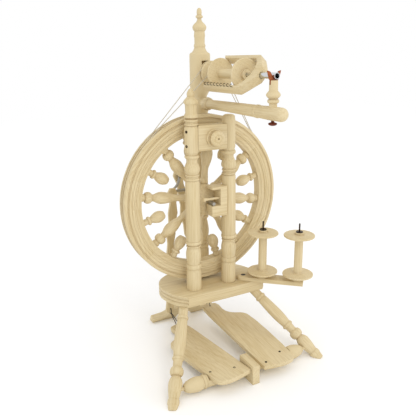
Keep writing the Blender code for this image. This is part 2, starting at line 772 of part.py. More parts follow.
def make_crank_axle(axis):
    """Steel axle that ends in a double crank, with a stub for each footman."""
    rear = Vector((0, CRANK_Y, 0))
    left = rear + throw(LEFT_THROW)
    right = rear + throw(RIGHT_THROW)
    bow = (left + right) / 2 + Vector((5 * MM, 0, -4 * MM))
    crank = to_mesh(tube("crank_axle", smooth_route([left, bow, right], 7), CRANK_ROD))
    up = Vector((0, 0, AXLE_HEIGHT))
    reach = CRANK_ROD + 1 * MM
    left_stub = Vector((left.x, LEFT_FOOTMAN_Y + FOOTMAN_THICKNESS / 2 + 0.5 * MM, left.z))
    right_stub = Vector((right.x, RIGHT_FOOTMAN_Y - FOOTMAN_THICKNESS / 2 - 4.5 * MM, right.z))
    back = Vector((0, reach, 0))
    pieces = (
        ("left_stub", 6 * MM, left_stub, left + back),
        ("right_stub", 6 * MM, right - back, right_stub),
        ("first_arm", CRANK_ROD, rear, left),
        ("axle", AXLE_RADIUS, Vector((0, -AXLE_FRONT, 0)), rear + back),
    )
    for name, radius, start, end in pieces:
        join_rod(crank, name, radius, start + up, end + up)
    return steel(attach_local(crank, axis))


# ---------------------------------------------------------------- head, arm and maiden

def make_head(axis):
    """Turned head on the rear post: collar for the arm, thick body and tall finial."""
    top = HEAD_HEIGHT
    profile = [(0, top), (4.5 * MM, top - 2 * MM), (6.6 * MM, top - 9 * MM)]
    profile += [(6 * MM, top - 18 * MM), (9.5 * MM, top - 22 * MM), (5.2 * MM, top - 28 * MM)]
    profile += belly(8 * MM, 18.2 * MM, 14.8 * MM, top - 34 * MM, 22 * MM, 0.62, 3)
    profile += mm([(13.4, 211), (14.7, 199), (13.6, 195), (13.4, 181), (15.7, 175)])
    profile += mm([(14.3, 171), (15, 169), (20.8, 159)])
    profile += [(HEAD_RADIUS - 2 * MM, 157 * MM), (HEAD_RADIUS, 153 * MM)]
    profile += [(HEAD_RADIUS, 73 * MM)]
    profile += [(HEAD_RADIUS - 2.5 * MM, 60 * MM), (18.6 * MM, 49 * MM), (17.2 * MM, 45 * MM)]
    profile += belly(18 * MM, HEAD_COLLAR, 20.6 * MM, 42 * MM, 36 * MM, 0.5, 3)
    profile += [(20 * MM, 0), (0, 0)]
    head = turned("head_post", profile, 14)
    head.location = (REAR_X, REAR_Y, HEAD_LOW)
    cut_rod(head, "arm_hole", ARM_RADIUS + GAP, (REAR_X, -0.02, ARM_Z),
            (REAR_X, REAR_Y - 4 * MM, ARM_Z))
    cut_box(head, "bearing_slot", (FLYER_X - 11 * MM, -0.02, FLYER_Z - 22 * MM),
            (FLYER_X + 11 * MM, REAR_Y - 6 * MM, FLYER_Z + 31 * MM))
    return wood(attach(head, axis))


def make_rear_bearing(axis):
    """Leather bearing let into the head's slot, for the rear end of the flyer shaft."""
    bearing = box("rear_bearing", (FLYER_X - 11 * MM + GAP, 27 * MM, FLYER_Z - 22 * MM + GAP),
                  (FLYER_X + 11 * MM - GAP, 33 * MM, FLYER_Z + 16 * MM))
    cut_rod(bearing, "rear_bearing_bore", SHAFT_RADIUS + RUNNING,
            (FLYER_X, 0, FLYER_Z), (FLYER_X, 0.06, FLYER_Z))
    return leather(attach(bearing, axis))


def make_arm(axis):
    rear = REAR_Y - 5 * MM
    length = rear - ARM_FRONT
    end = ARM_END_RADIUS
    profile = [(0, 0), (ARM_RADIUS, 0), (ARM_RADIUS, -24 * MM)]
    profile += bead(ARM_RADIUS, 5 * MM, -25 * MM, 22 * MM)
    profile += [(11.6 * MM, -50 * MM), (14 * MM, -length + 112 * MM)]
    profile += bead(13.6 * MM, 1.6 * MM, -length + 108 * MM, 12 * MM, 2)
    profile += [(14 * MM, -length + 92 * MM), (end, -length + 60 * MM), (end, -length + 14 * MM)]
    profile += [(end - 2 * MM, -length + 6 * MM), (end - 7 * MM, -length + 1 * MM), (0, -length)]
    arm = turned("flyer_arm", profile, 12)
    along(arm, (REAR_X, rear, ARM_Z), (0, -1, 0))
    cut_rod(arm, "tenon_hole", MAIDEN_TENON + GAP, (REAR_X, MAIDEN_Y, ARM_Z - 0.03),
            (REAR_X, MAIDEN_Y, ARM_Z + 0.03))
    cut_rod(arm, "maiden_seat", 9.2 * MM, (REAR_X, MAIDEN_Y, ARM_Z + 12 * MM),
            (REAR_X, MAIDEN_Y, ARM_Z + 0.03))
    return wood(attach(arm, axis))


def make_maiden(axis):
    """Front maiden: holds the leather that the flyer's front end runs in."""
    top = FLYER_Z - 9 * MM
    seat = ARM_Z + 12 * MM + GAP
    tenon_end = ARM_Z - ARM_END_RADIUS
    profile = [(0, top), (9.4 * MM, top), (9.6 * MM, top - 20 * MM)]
    profile += belly(10 * MM, 15.6 * MM, 11.5 * MM, top - 22 * MM, 14 * MM, 0.6, 3)
    profile += [(9.6 * MM, top - 38 * MM)]
    profile += bead(9.6 * MM, 3.2 * MM, top - 39 * MM, 8 * MM, 2)
    profile += [(8.7 * MM, top - 48 * MM), (8.7 * MM, seat), (MAIDEN_TENON, seat)]
    profile += [(MAIDEN_TENON, tenon_end), (0, tenon_end)]
    maiden = turned("front_maiden", profile)
    maiden.location = (REAR_X, MAIDEN_Y, 0)
    cut_box(maiden, "leather_slot", (REAR_X - 0.02, MAIDEN_Y - 2.2 * MM - GAP, top - 9 * MM),
            (REAR_X + 0.02, MAIDEN_Y + 2.2 * MM + GAP, top + 0.01))
    return wood(attach(maiden, axis))


def make_front_leather(axis):
    """Forked leather that cradles the orifice tube."""
    low = FLYER_Z - 18 * MM + GAP
    shift = FLYER_X - REAR_X
    cradle = TUBE_RADIUS + RUNNING
    right = [
        (8.5 * MM, low),
        (9 * MM, FLYER_Z - 9.5 * MM),
        (12 * MM, FLYER_Z - 6 * MM),
        (17 * MM, FLYER_Z + 11 * MM),
        (10.5 * MM, FLYER_Z + 9 * MM),
    ]
    under = [
        (shift + cradle * math.cos(math.pi * i / 8), FLYER_Z - cradle * math.sin(math.pi * i / 8))
        for i in range(0, 9)
    ]
    left = [(-x, z) for x, z in reversed(right)]
    piece = board("front_leather", right + under + left, 4.4 * MM)
    piece.rotation_euler = (math.pi / 2, 0, 0)
    piece.location = (REAR_X, MAIDEN_Y, 0)
    return leather(attach(piece, axis))


def make_lock_knob(axis):
    """Small knob under the arm, on the end of the maiden's tenon."""
    top = ARM_Z - ARM_END_RADIUS - GAP
    profile = [(0, top), (3.5 * MM, top), (3.5 * MM, top - 3 * MM), (9.8 * MM, top - 6 * MM)]
    profile += [(9 * MM, top - 8.5 * MM), (4 * MM, top - 10.5 * MM), (0, top - 11 * MM)]
    knob = turned("maiden_lock_knob", profile, 14)
    knob.location = (REAR_X, MAIDEN_Y, 0)
    return paint(attach(knob, axis), (0.10, 0.02, 0.003), 0.4)


# ---------------------------------------------------------------- flyer and bobbins

def make_flyer_shaft(axis):
    """Steel orifice tube at the front, open at its mouth, and the shaft behind it."""
    mouth = -ORIFICE_Y
    bore = TUBE_RADIUS - 1.6 * MM
    step = -YOKE_FRONT - 28 * MM
    profile = [(0, mouth - 40 * MM), (bore, mouth - 40 * MM), (bore, mouth)]
    profile += [(TUBE_RADIUS, mouth), (TUBE_RADIUS, step), (SHAFT_RADIUS, step)]
    profile += [(SHAFT_RADIUS, -36 * MM), (0, -36 * MM)]
    shaft = turned("flyer_shaft", profile)
    shaft.rotation_euler = (math.pi / 2, 0, 0)
    return steel(attach_local(shaft, axis))


def make_yoke(axis):
    """Two flat arms that meet in a block at the front, round the orifice tube."""
    inside = YOKE_INSIDE
    outside = YOKE_INSIDE + YOKE_ARM
    bend = YOKE_BEND
    front = YOKE_FRONT
    outer = [
        (outside, YOKE_TIP),
        (outside, bend),
        (outside - 11 * MM, bend - 14 * MM),
        (13 * MM, front),
    ]
    inner = [
        (9 * MM, front + 28 * MM),
        (inside - 12 * MM, bend - 6 * MM),
        (inside, bend + 9 * MM),
        (inside, YOKE_TIP - 9 * MM),
    ]
    half = inner + outer
    mirrored = [(-x, y) for x, y in reversed(half)]
    yoke = board("flyer_yoke", half + mirrored, YOKE_WIDTH)
    turn = -(math.pi / 2 - FLYER_TURN)
    yoke.rotation_euler = (0, turn, 0)
    attach_local(yoke, axis)
    tool = cutter(rod("yoke_bore", TUBE_RADIUS + GAP, (0, front - 0.02, 0),
                      (0, front + 0.06, 0), CUTTERS))
    boolean(yoke, attach_local(tool, axis), "DIFFERENCE")
    return wood(yoke)


def make_whorl(axis):
    """Flyer pulley, glued on the shaft."""
    half = WHORL_LENGTH / 2
    bore = SHAFT_RADIUS + GAP
    edge = WHORL_RADIUS
    profile = [(bore, half), (edge - 2 * MM, half), (edge, half - 2 * MM)]
    profile += [(edge, 4 * MM), (WHORL_GROOVE, 1.6 * MM), (WHORL_GROOVE, -1.6 * MM)]
    profile += [(edge, -4 * MM), (edge, -half + 2 * MM), (edge - 2 * MM, -half)]
    profile += [(bore, -half)]
    whorl = turned("flyer_whorl", profile, 18, closed=True)
    whorl.rotation_euler = (math.pi / 2, 0, 0)
    whorl.location = (0, WHORL_Y, 0)
    return wood(attach_local(whorl, axis))


def make_bobbin(name, edge, axis):
    """Bobbin with its pulley end at local Z = 0."""
    length = BOBBIN_LENGTH
    bore = BOBBIN_BORE
    core = BOBBIN_CORE
    high = length - 6.6 * MM
    low = PULLEY_LENGTH
    profile = [(bore, length), (12 * MM, length), (12 * MM, high + 0.8 * MM)]
    profile += [(edge - 1 * MM, high), (edge, high - FLANGE / 2), (edge - 1 * MM, high - FLANGE)]
    profile += [(core, high - FLANGE - 1 * MM), (core, low + FLANGE + 1 * MM)]
    profile += [(edge - 1 * MM, low + FLANGE), (edge, low + FLANGE / 2), (edge - 1 * MM, low)]
    profile += [(PULLEY_RADIUS, low - 1 * MM), (PULLEY_GROOVE, low / 2 + 1 * MM)]
    profile += [(PULLEY_GROOVE, low / 2 - 1 * MM), (PULLEY_RADIUS, 1 * MM)]
    profile += [(PULLEY_RADIUS - 1 * MM, 0), (bore, 0)]
    bobbin = turned(name, profile, 14, closed=True)
    return wood(attach_local(bobbin, axis))


# ---------------------------------------------------------------- bobbin rack

def rack_spot(distance):
    return RACK_PIVOT + Vector((distance * math.cos(RACK_ANGLE),
                                distance * math.sin(RACK_ANGLE), 0))


def make_rack_arm(axis):
    """Flat arm, round at the bolt and square at its far end."""
    half = RACK_WIDTH / 2
    outline = [(RACK_LENGTH, -half), (RACK_LENGTH, half)]
    for i in range(9):
        angle = math.pi / 2 + math.pi * i / 8
        outline.append((half * math.cos(angle), half * math.sin(angle)))
    arm = board("rack_arm", outline, RACK_THICKNESS)
    arm.rotation_euler = (0, 0, RACK_ANGLE)
    middle = TABLE_TOP + GAP + RACK_THICKNESS / 2
    arm.location = RACK_PIVOT + Vector((0, 0, middle))
    top = TABLE_TOP + GAP + RACK_THICKNESS
    base = RACK_PIVOT + Vector((0, 0, TABLE_TOP - 0.02))
    cut_rod(arm, "rack_arm_hole", BOLT_RADIUS + RUNNING, base, base + Vector((0, 0, 0.06)))
    sunk = RACK_PIVOT + Vector((0, 0, top - 3.4 * MM))
    cut_rod(arm, "rack_arm_sink", BOLT_HEAD + RUNNING, sunk, sunk + Vector((0, 0, 0.01)))
    for name, distance in (("first_pin_hole", RACK_FIRST), ("second_pin_hole", RACK_SECOND)):
        spot = rack_spot(distance) + Vector((0, 0, TABLE_TOP + 2 * MM))
        cut_rod(arm, name, RACK_PIN + GAP, spot, spot + Vector((0, 0, 0.03)))
    return wood(attach(arm, axis))


def make_rack_bolt():
    top = TABLE_TOP + GAP + RACK_THICKNESS - 0.3 * MM
    profile = [(0, top), (BOLT_HEAD, top), (BOLT_HEAD, top - 2.7 * MM)]
    profile += [(BOLT_RADIUS, top - 2.7 * MM), (BOLT_RADIUS, TABLE_TOP - 46 * MM)]
    profile += [(0, TABLE_TOP - 46 * MM)]
    bolt = turned("rack_bolt", profile, 16)
    bolt.location = RACK_PIVOT
    return dark_steel(bolt)


def make_rack_pin(name, distance, axis):
    """Pin in the rack's arm, with a washer that keeps the bobbin on it."""
    under = TABLE_TOP + 2 * GAP + RACK_THICKNESS + BOBBIN_LENGTH + RUNNING
    profile = [(0, RACK_PIN_TOP), (RACK_PIN, RACK_PIN_TOP - 1 * MM)]
    profile += [(RACK_PIN, under + 2 * MM), (9.5 * MM, under + 2 * MM), (9.5 * MM, under)]
    profile += [(RACK_PIN, under), (RACK_PIN, TABLE_TOP + 2 * MM + GAP)]
    profile += [(0, TABLE_TOP + 2 * MM + GAP)]
    pin = turned(name, profile, 14)
    pin.location = rack_spot(distance)
    return dark_steel(attach(pin, axis))


# ---------------------------------------------------------------- treadles and footmen

def inner_edge(side):
    return RIGHT_EDGE if side > 0 else LEFT_EDGE


def leg_at_bar(top, side):
    """X of a front leg's middle at the height of the treadle bar."""
    share = BAR_Z / top.z
    return foot_x(side) + (top.x - foot_x(side)) * share


def make_bar(name, side, reach, axis):
    """One half of the turned treadle bar. Its ends are pins, in the leg and the centre foot."""
    pin_end = reach - 5 * MM
    inner = CENTRE_X * side + CENTRE_WIDTH / 2 + 0.4 * MM
    profile = [(0, pin_end), (BAR_PIN, pin_end), (BAR_PIN, reach - 25 * MM)]
    profile += [(8.5 * MM, reach - 25 * MM), (12 * MM, reach - 31 * MM)]
    profile += belly(14 * MM, 18.4 * MM, 15.8 * MM, reach - 34 * MM, 40 * MM, 0.6, 3)
    profile += bead(15.5 * MM, 2 * MM, reach - 75 * MM, 8 * MM, 1)
    profile += [(BAR_RADIUS, reach - 85 * MM), (BAR_RADIUS, inner), (BAR_PIN, inner)]
    profile += [(BAR_PIN, inner - CENTRE_WIDTH / 2 + 1.5 * MM)]
    profile += [(0, inner - CENTRE_WIDTH / 2 + 1.5 * MM)]
    bar = turned(name, profile)
    bar.rotation_euler = (0, side * math.pi / 2, 0)
    attach_local(bar, axis)
    near = inner - 0.1 * MM
    far = side * inner_edge(side) + FOOTREST + 4 * MM
    low, high = sorted((side * near, side * far))
    seat = box(name + "_seat", (low, -0.04, BOARD_RISE - GAP), (high, 0.04, 0.06), CUTTERS)
    boolean(bar, attach_local(cutter(seat), axis), "DIFFERENCE")
    return wood(bar)


def make_treadle(name, side, yaw, axis):
    """Footrest with a narrow tail behind it, straight along its inner edge."""
    wide = FOOTREST
    front = -FRONT_EDGE
    narrow = TAIL
    shoulder = SHOULDER
    outline = [
        (2 * MM, front + 3 * MM, 1),
        (wide * 0.35, front - 3 * MM),
        (wide * 0.7, front - 5 * MM),
        (wide - 5 * MM, front + 4 * MM),
        (wide - 1 * MM, front + 22 * MM),
        (wide + 1 * MM, shoulder),
        (wide - 7 * MM, shoulder + 15 * MM),
        (wide - 36 * MM, shoulder + 32 * MM),
        (narrow + 6 * MM, shoulder + 50 * MM),
        (narrow + 2 * MM, TAIL_END - 5 * MM),
        (narrow - 6 * MM, TAIL_END),
        (6 * MM, TAIL_END),
        (0, TAIL_END - 6 * MM),
    ]
    outline = [(side * point[0], *point[1:]) for point in outline]
    piece = board(name, outline, BOARD_THICKNESS, smooth=True)
    piece.rotation_euler = (0, 0, yaw)
    piece.location = (inner_edge(side), 0, BOARD_RISE + BOARD_THICKNESS / 2)
    attach_local(piece, axis)
    hole = tail_hole(side, yaw)
    tool = rod(name + "_tie_hole", THONG_RADIUS + 1 * MM, hole - Vector((0, 0, 0.03)),
               hole + Vector((0, 0, 0.03)), CUTTERS, 12)
    boolean(piece, attach_local(cutter(tool), axis), "DIFFERENCE")
    return wood(piece)


def tail_hole(side, yaw):
    """Middle of the hole for the thong, in the frame of the treadle's hinge."""
    across = side * TAIL / 2
    along_tail = TAIL_END - 12 * MM
    x = across * math.cos(yaw) - along_tail * math.sin(yaw)
    y = across * math.sin(yaw) + along_tail * math.cos(yaw)
    middle = BOARD_RISE + BOARD_THICKNESS / 2
    return Vector((inner_edge(side) + x, y, middle))


def make_centre_foot():
    foot = box("centre_foot", (CENTRE_X - CENTRE_WIDTH / 2, CENTRE_FRONT, 0),
               (CENTRE_X + CENTRE_WIDTH / 2, BAR_Y + 18 * MM, BAR_Z + 29 * MM))
    cut_rod(foot, "centre_foot_bore", BAR_PIN + RUNNING, (CENTRE_X - 0.03, BAR_Y, BAR_Z),
            (CENTRE_X + 0.03, BAR_Y, BAR_Z))
    return wood(foot)


def make_footman(name, pin, low, y, axis):
    """Wavy flat rod from the crank pin at its top to the thong at its lower end."""
    half = FOOTMAN_WIDTH / 2
    top = Vector((pin.x, pin.z + AXLE_HEIGHT))
    end = Vector((axis.location.x, low))
    down = (end - top).normalized()
    across = Vector((-down.y, down.x))
    length = (end - top).length
    right = []
    steps = 12
    for i in range(steps + 1):
        along_rod = length * i / steps
        wave = 2.4 * MM * math.cos(math.pi * i)
        shift = 3 * MM * math.sin(math.pi * i / 3)
        right.append((along_rod, half - 2.4 * MM + wave, shift))
    sides = [top + down * a + across * (w + s) for a, w, s in right]
    other = [top + down * a - across * (w - s) for a, w, s in reversed(right)]
    cap_end = [end + down * 5 * MM + across * 9 * MM, end + down * 5 * MM - across * 9 * MM]
    cap_top = [top - down * 12 * MM - across * 8 * MM, top - down * 12 * MM + across * 8 * MM]
    outline = [(p.x, p.y) for p in sides + cap_end + other + cap_top]
    rod_shape = board(name, outline, FOOTMAN_THICKNESS)
    rod_shape.rotation_euler = (math.pi / 2, 0, 0)
    rod_shape.location = (0, y, 0)
    hole = end - down * 7 * MM
    cut_rod(rod_shape, name + "_tie_hole", THONG_RADIUS + 1 * MM,
            (hole.x, y - 0.02, hole.y), (hole.x, y + 0.02, hole.y))
    return wood(attach(rod_shape, axis)), Vector((hole.x, y, hole.y))


def make_thong(name, hole, tilt, spot, axis):
    """Closed leather thong through the treadle's tail and the footman's lower end."""
    bar = Vector((0, BAR_Y, BAR_Z))
    turn = math.cos(tilt), math.sin(tilt)

    def place(x, y, z):
        return bar + Vector((x, y * turn[0] - z * turn[1], y * turn[1] + z * turn[0]))

    half = BOARD_THICKNESS / 2
    clear = THONG_RADIUS + 0.9 * MM
    x, y, z = hole
    back = TAIL_END + clear + 4 * MM
    reach = FOOTMAN_THICKNESS / 2 + clear
    low = spot + Vector((0, 0, -13 * MM - clear))
    route = [
        place(x, y, z + half + 3 * MM),
        place(x, y, z),
        place(x, y, z - half - clear + 0.2 * MM),
        place(x, y + 8 * MM, z - half - clear),
        place(x, back, z - half - clear + 1 * MM),
        place(x, back + 2 * MM, z + half),
        low + Vector((0, -reach * 0.8, 0)),
        low + Vector((0, reach, 0)),
        spot + Vector((0, reach, -8 * MM)),
        spot + Vector((0, reach, 0)),
        spot + Vector((0, -reach, 0)),
        spot + Vector((0, -reach - 2 * MM, -12 * MM)),
        place(x, y + 7 * MM, z + half + 9 * MM),
    ]
    thong = tube(name, route, THONG_RADIUS, closed=True)
    return paint(attach(thong, axis), (0.015, 0.015, 0.015), 0.6)


# ---------------------------------------------------------------- drive band

def make_band(name, small_radius, small_y, big_y):
    """Loop round the wheel's groove and a pulley on the flyer's axis."""
    big_radius = WHEEL_RADIUS - GROOVE_DEPTH + BAND_RADIUS + 0.9 * MM
    small_radius = small_radius + BAND_RADIUS + 0.6 * MM
    big = Vector((0, big_y, AXLE_HEIGHT))
    small = Vector((FLYER_X, small_y, FLYER_Z))
    line = small - big
    distance = math.hypot(line.x, line.z)
    bearing = math.atan2(line.z, line.x)
    spread = math.acos((big_radius - small_radius) / distance)
    route = []
    steps = 34
    for i in range(steps + 1):
        angle = bearing + spread + (2 * math.pi - 2 * spread) * i / steps
        route.append(big + big_radius * Vector((math.cos(angle), 0, math.sin(angle))))
    near = []
    steps = 10
    for i in range(steps + 1):
        angle = bearing - spread + 2 * spread * i / steps
        near.append(small + small_radius * Vector((math.cos(angle), 0, math.sin(angle))))
    leave = route[-1].lerp(near[0], BAND_LEAVES)
    arrive = route[0].lerp(near[-1], BAND_LEAVES)
    leave.y = big_y
    arrive.y = big_y
    route += [leave] + near + [arrive]
    band = tube(name, route, BAND_RADIUS, closed=True)
    return paint(band, (0.62, 0.58, 0.50), 0.8)


# ---------------------------------------------------------------- whole object

CORDS = ("drive_band_flyer", "drive_band_bobbin", "thong_left", "thong_right")


def centre_model():
    """Moves the model so that its box is centred on the origin, standing on Z = 0."""
    bpy.context.view_layer.update()
    graph = bpy.context.evaluated_depsgraph_get()
    low = Vector((1e9, 1e9, 1e9))
    high = -low
    for obj in PARTS.objects:
        if obj.type == "EMPTY" or obj.name in CORDS:
            continue
        shape = obj.evaluated_get(graph)
        for vertex in shape.to_mesh().vertices:
            place = shape.matrix_world @ vertex.co
            low = Vector(map(min, low, place))
            high = Vector(map(max, high, place))
        shape.to_mesh_clear()
    shift = Vector(((low.x + high.x) / 2, (low.y + high.y) / 2, low.z))
    for obj in list(PARTS.objects) + list(CUTTERS.objects):
        if obj.parent is None:
            obj.location -= shift


def build_stand():
    make_table()
    make_front_leg("front_leg_left", LEG_TOP_LEFT, -1)
    make_front_leg("front_leg_right", LEG_TOP_RIGHT, 1)
    make_rear_foot()
    make_left_post()
    make_right_post()
    make_crossbar()
    make_front_block()
    make_rear_post()
    make_rear_block()
    make_centre_foot()
    make_rack_bolt()
    make_knob(pivot("knob_axis", (KNOB_X, POST_Y - CROSSBAR_THICKNESS / 2, KNOB_Z)))
    make_peg(pivot("peg_axis", (BLOCK_LEFT, POST_Y - 10 * MM, PEG_Z)))


def build_wheel():
    axis = pivot("wheel_axis", (0, 0, AXLE_HEIGHT))
    make_rim(axis)
    make_hub(axis)
    make_spokes(axis)
    make_crank_axle(axis)


def build_flyer():
    head = pivot("head_slide", (REAR_X, REAR_Y, HEAD_LOW))
    make_head(head)
    make_rear_bearing(head)
    make_arm(head)
    make_maiden(head)
    make_front_leather(head)
    make_lock_knob(head)
    axis = pivot("flyer_axis", (FLYER_X, 0, FLYER_Z))
    make_flyer_shaft(axis)
    make_yoke(axis)
    make_whorl(axis)
    turn = pivot("bobbin_axis", (FLYER_X, BOBBIN_REAR, FLYER_Z))
    bobbin = make_bobbin("flyer_bobbin", FLYER_FLANGE, turn)
    bobbin.rotation_euler = (math.pi / 2, 0, 0)


def build_rack():
    axis = pivot("rack_axis", RACK_PIVOT + Vector((0, 0, TABLE_TOP)))
    make_rack_arm(axis)
    spots = (("1", RACK_FIRST), ("2", RACK_SECOND))
    for number, distance in spots:
        make_rack_pin("rack_pin_" + number, distance, axis)
        floor = Vector((0, 0, TABLE_TOP + 2 * GAP + RACK_THICKNESS))
        turn = pivot("rack_bobbin_axis_" + number, rack_spot(distance) + floor)
        make_bobbin("rack_bobbin_" + number, FLANGE_RADIUS, turn)


def build_treadles():
    sides = (
        ("left", -1, LEFT_TILT, LEFT_YAW, LEG_TOP_LEFT, throw(LEFT_THROW), LEFT_TIE,
         LEFT_FOOTMAN_LOW),
        ("right", 1, RIGHT_TILT, 0, LEG_TOP_RIGHT, throw(RIGHT_THROW), RIGHT_TIE,
         RIGHT_FOOTMAN_LOW),
    )
    for name, side, tilt, yaw, top, pin, tie, low in sides:
        axis = pivot("treadle_axis_" + name, (0, BAR_Y, BAR_Z))
        axis.rotation_euler = (tilt, 0, 0)
        make_bar("treadle_bar_" + name, side, abs(leg_at_bar(top, side)), axis)
        make_treadle("treadle_" + name, side, yaw, axis)
        tie_axis = pivot("footman_axis_" + name, tie)
        hole = make_footman("footman_" + name, pin, low, tie.y, tie_axis)[1]
        make_thong("thong_" + name, tail_hole(side, yaw), tilt, hole, tie_axis)


def main():
    global PARTS, CUTTERS
    clear_scene()
    PARTS = new_collection("Spinning wheel")
    CUTTERS = new_collection("Cutters")
    CUTTERS.hide_render = True
    build_stand()
    build_wheel()
    build_flyer()
    build_rack()
    build_treadles()
    make_band("drive_band_flyer", WHORL_GROOVE, WHORL_Y, GROOVE_Y)
    make_band("drive_band_bobbin", PULLEY_GROOVE, BOBBIN_REAR - PULLEY_LENGTH / 2, -GROOVE_Y)
    centre_model()
    for obj in PARTS.objects:
        if obj.type == "MESH":
            finish(obj)


main()
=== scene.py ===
"""Upright double-treadle spinning wheel: finishes, turned pieces, floor and light.

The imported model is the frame. Wooden pieces are made again here as a turner and a joiner
would leave them, with finer turnings, eased edges and grain that runs along each piece.
"""

import json
import math

import bmesh
import bpy
from mathutils import Matrix, Vector


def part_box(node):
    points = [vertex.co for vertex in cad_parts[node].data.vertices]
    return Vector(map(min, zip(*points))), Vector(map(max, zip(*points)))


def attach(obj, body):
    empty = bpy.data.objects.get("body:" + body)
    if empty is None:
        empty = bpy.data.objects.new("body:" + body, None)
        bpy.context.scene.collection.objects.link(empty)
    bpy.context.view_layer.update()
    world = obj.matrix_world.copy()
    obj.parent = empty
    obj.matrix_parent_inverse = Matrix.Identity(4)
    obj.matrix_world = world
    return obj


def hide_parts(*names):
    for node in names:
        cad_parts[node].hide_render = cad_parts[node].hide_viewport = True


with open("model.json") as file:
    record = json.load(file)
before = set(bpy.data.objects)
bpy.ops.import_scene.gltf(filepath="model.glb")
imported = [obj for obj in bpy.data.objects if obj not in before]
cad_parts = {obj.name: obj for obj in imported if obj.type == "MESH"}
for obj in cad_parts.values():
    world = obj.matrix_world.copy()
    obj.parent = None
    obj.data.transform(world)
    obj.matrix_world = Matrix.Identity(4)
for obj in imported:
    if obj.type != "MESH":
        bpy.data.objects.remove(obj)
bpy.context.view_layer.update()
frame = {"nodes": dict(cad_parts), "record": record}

MM = 0.001
NODES = frame["nodes"]
RECORD = frame["record"]
JOINTS = {joint["name"]: joint for joint in RECORD["behaviour"]["joints"]}
SLOT_OF = {row["node"]: row["material_slot"] for row in RECORD["subparts"]}
BODY_OF = {
    node: body for body, nodes in RECORD["behaviour"]["bodies"].items() for node in nodes
}

# Places that everything is worked out from
AXLE = Vector(JOINTS["wheel_turn"]["pos_m"])
FLYER = Vector(JOINTS["flyer_turn"]["pos_m"])
HINGE = Vector(JOINTS["treadle_left_turn"]["pos_m"])
TABLE_LOW, TABLE_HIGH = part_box("table")
HEAD_LOW, HEAD_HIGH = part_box("head_post")
LEFT_POST_LOW, LEFT_POST_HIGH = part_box("front_post_left")
RIGHT_POST_LOW, RIGHT_POST_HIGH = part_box("front_post_right")
REAR_POST_LOW, REAR_POST_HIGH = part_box("rear_post")

TURNING_STEPS = 48      # flats round a turned piece, too many to see
CURVE_POINTS = 7        # points on each bead and belly


# ---------------------------------------------------------------- camera

def set_camera():
    """Portrait view from the front left, a little above the table."""
    camera = bpy.data.objects.new("camera", bpy.data.cameras.new("camera"))
    bpy.context.scene.collection.objects.link(camera)
    right = Vector((0.8801, -0.4748, -0.0096))
    up = Vector((0.1434, 0.2464, 0.9585))
    back = right.cross(up)
    turn = Matrix((right, back.cross(right), back)).transposed().to_4x4()
    place = Vector((AXLE.x - 0.6105, AXLE.y - 1.1754, 0.7858))
    camera.matrix_world = Matrix.Translation(place) @ turn
    camera.data.lens = 43.48
    camera.data.sensor_width = 36
    camera.data.clip_start = 0.05
    bpy.context.scene.camera = camera


set_camera()


# ---------------------------------------------------------------- materials

def linear(code):
    """An sRGB hex colour as the linear RGBA that a shader takes."""
    found = []
    for i in (1, 3, 5):
        value = int(code[i:i + 2], 16) / 255
        found.append(value / 12.92 if value <= 0.04045 else ((value + 0.055) / 1.055) ** 2.4)
    return (*found, 1.0)


def step(tree, kind, settings=None, links=None):
    """Adds one node: settings are its properties or its inputs' values, links its inputs."""
    node = tree.nodes.new(kind)
    for key, value in (settings or {}).items():
        if isinstance(key, str) and hasattr(node, key):
            setattr(node, key, value)
        else:
            node.inputs[key].default_value = value
    for key, source in (links or {}).items():
        tree.links.new(source, node.inputs[key])
    return node


def new_material(name):
    material = bpy.data.materials.new(name)
    material.use_nodes = True
    tree = material.node_tree
    return material, tree, tree.nodes["Principled BSDF"]


def ramp(tree, source, stops):
    """A colour ramp over the value of source, with (position, hex) stops."""
    node = step(tree, "ShaderNodeValToRGB", links={"Fac": source})
    node.color_ramp.elements[0].position = stops[0][0]
    node.color_ramp.elements[0].color = linear(stops[0][1])
    node.color_ramp.elements[1].position = stops[-1][0]
    node.color_ramp.elements[1].color = linear(stops[-1][1])
    for position, code in stops[1:-1]:
        node.color_ramp.elements.new(position).color = linear(code)
    return node.outputs["Color"]


def stretched(tree, source, across, along):
    """Coordinates in units of a pattern that is across wide and along long, in mm."""
    scale = (1000 / across, 1000 / across, 1000 / along)
    node = step(tree, "ShaderNodeMapping", {"Scale": scale}, {"Vector": source})
    return node.outputs["Vector"]


def mixed(tree, share, first, second, blend="MIX"):
    node = step(tree, "ShaderNodeMix", {"data_type": "RGBA", "blend_type": blend})
    if isinstance(share, float):
        node.inputs["Factor"].default_value = share
    else:
        tree.links.new(share, node.inputs["Factor"])
    tree.links.new(first, node.inputs[6])
    tree.links.new(second, node.inputs[7])
    return node.outputs[2]


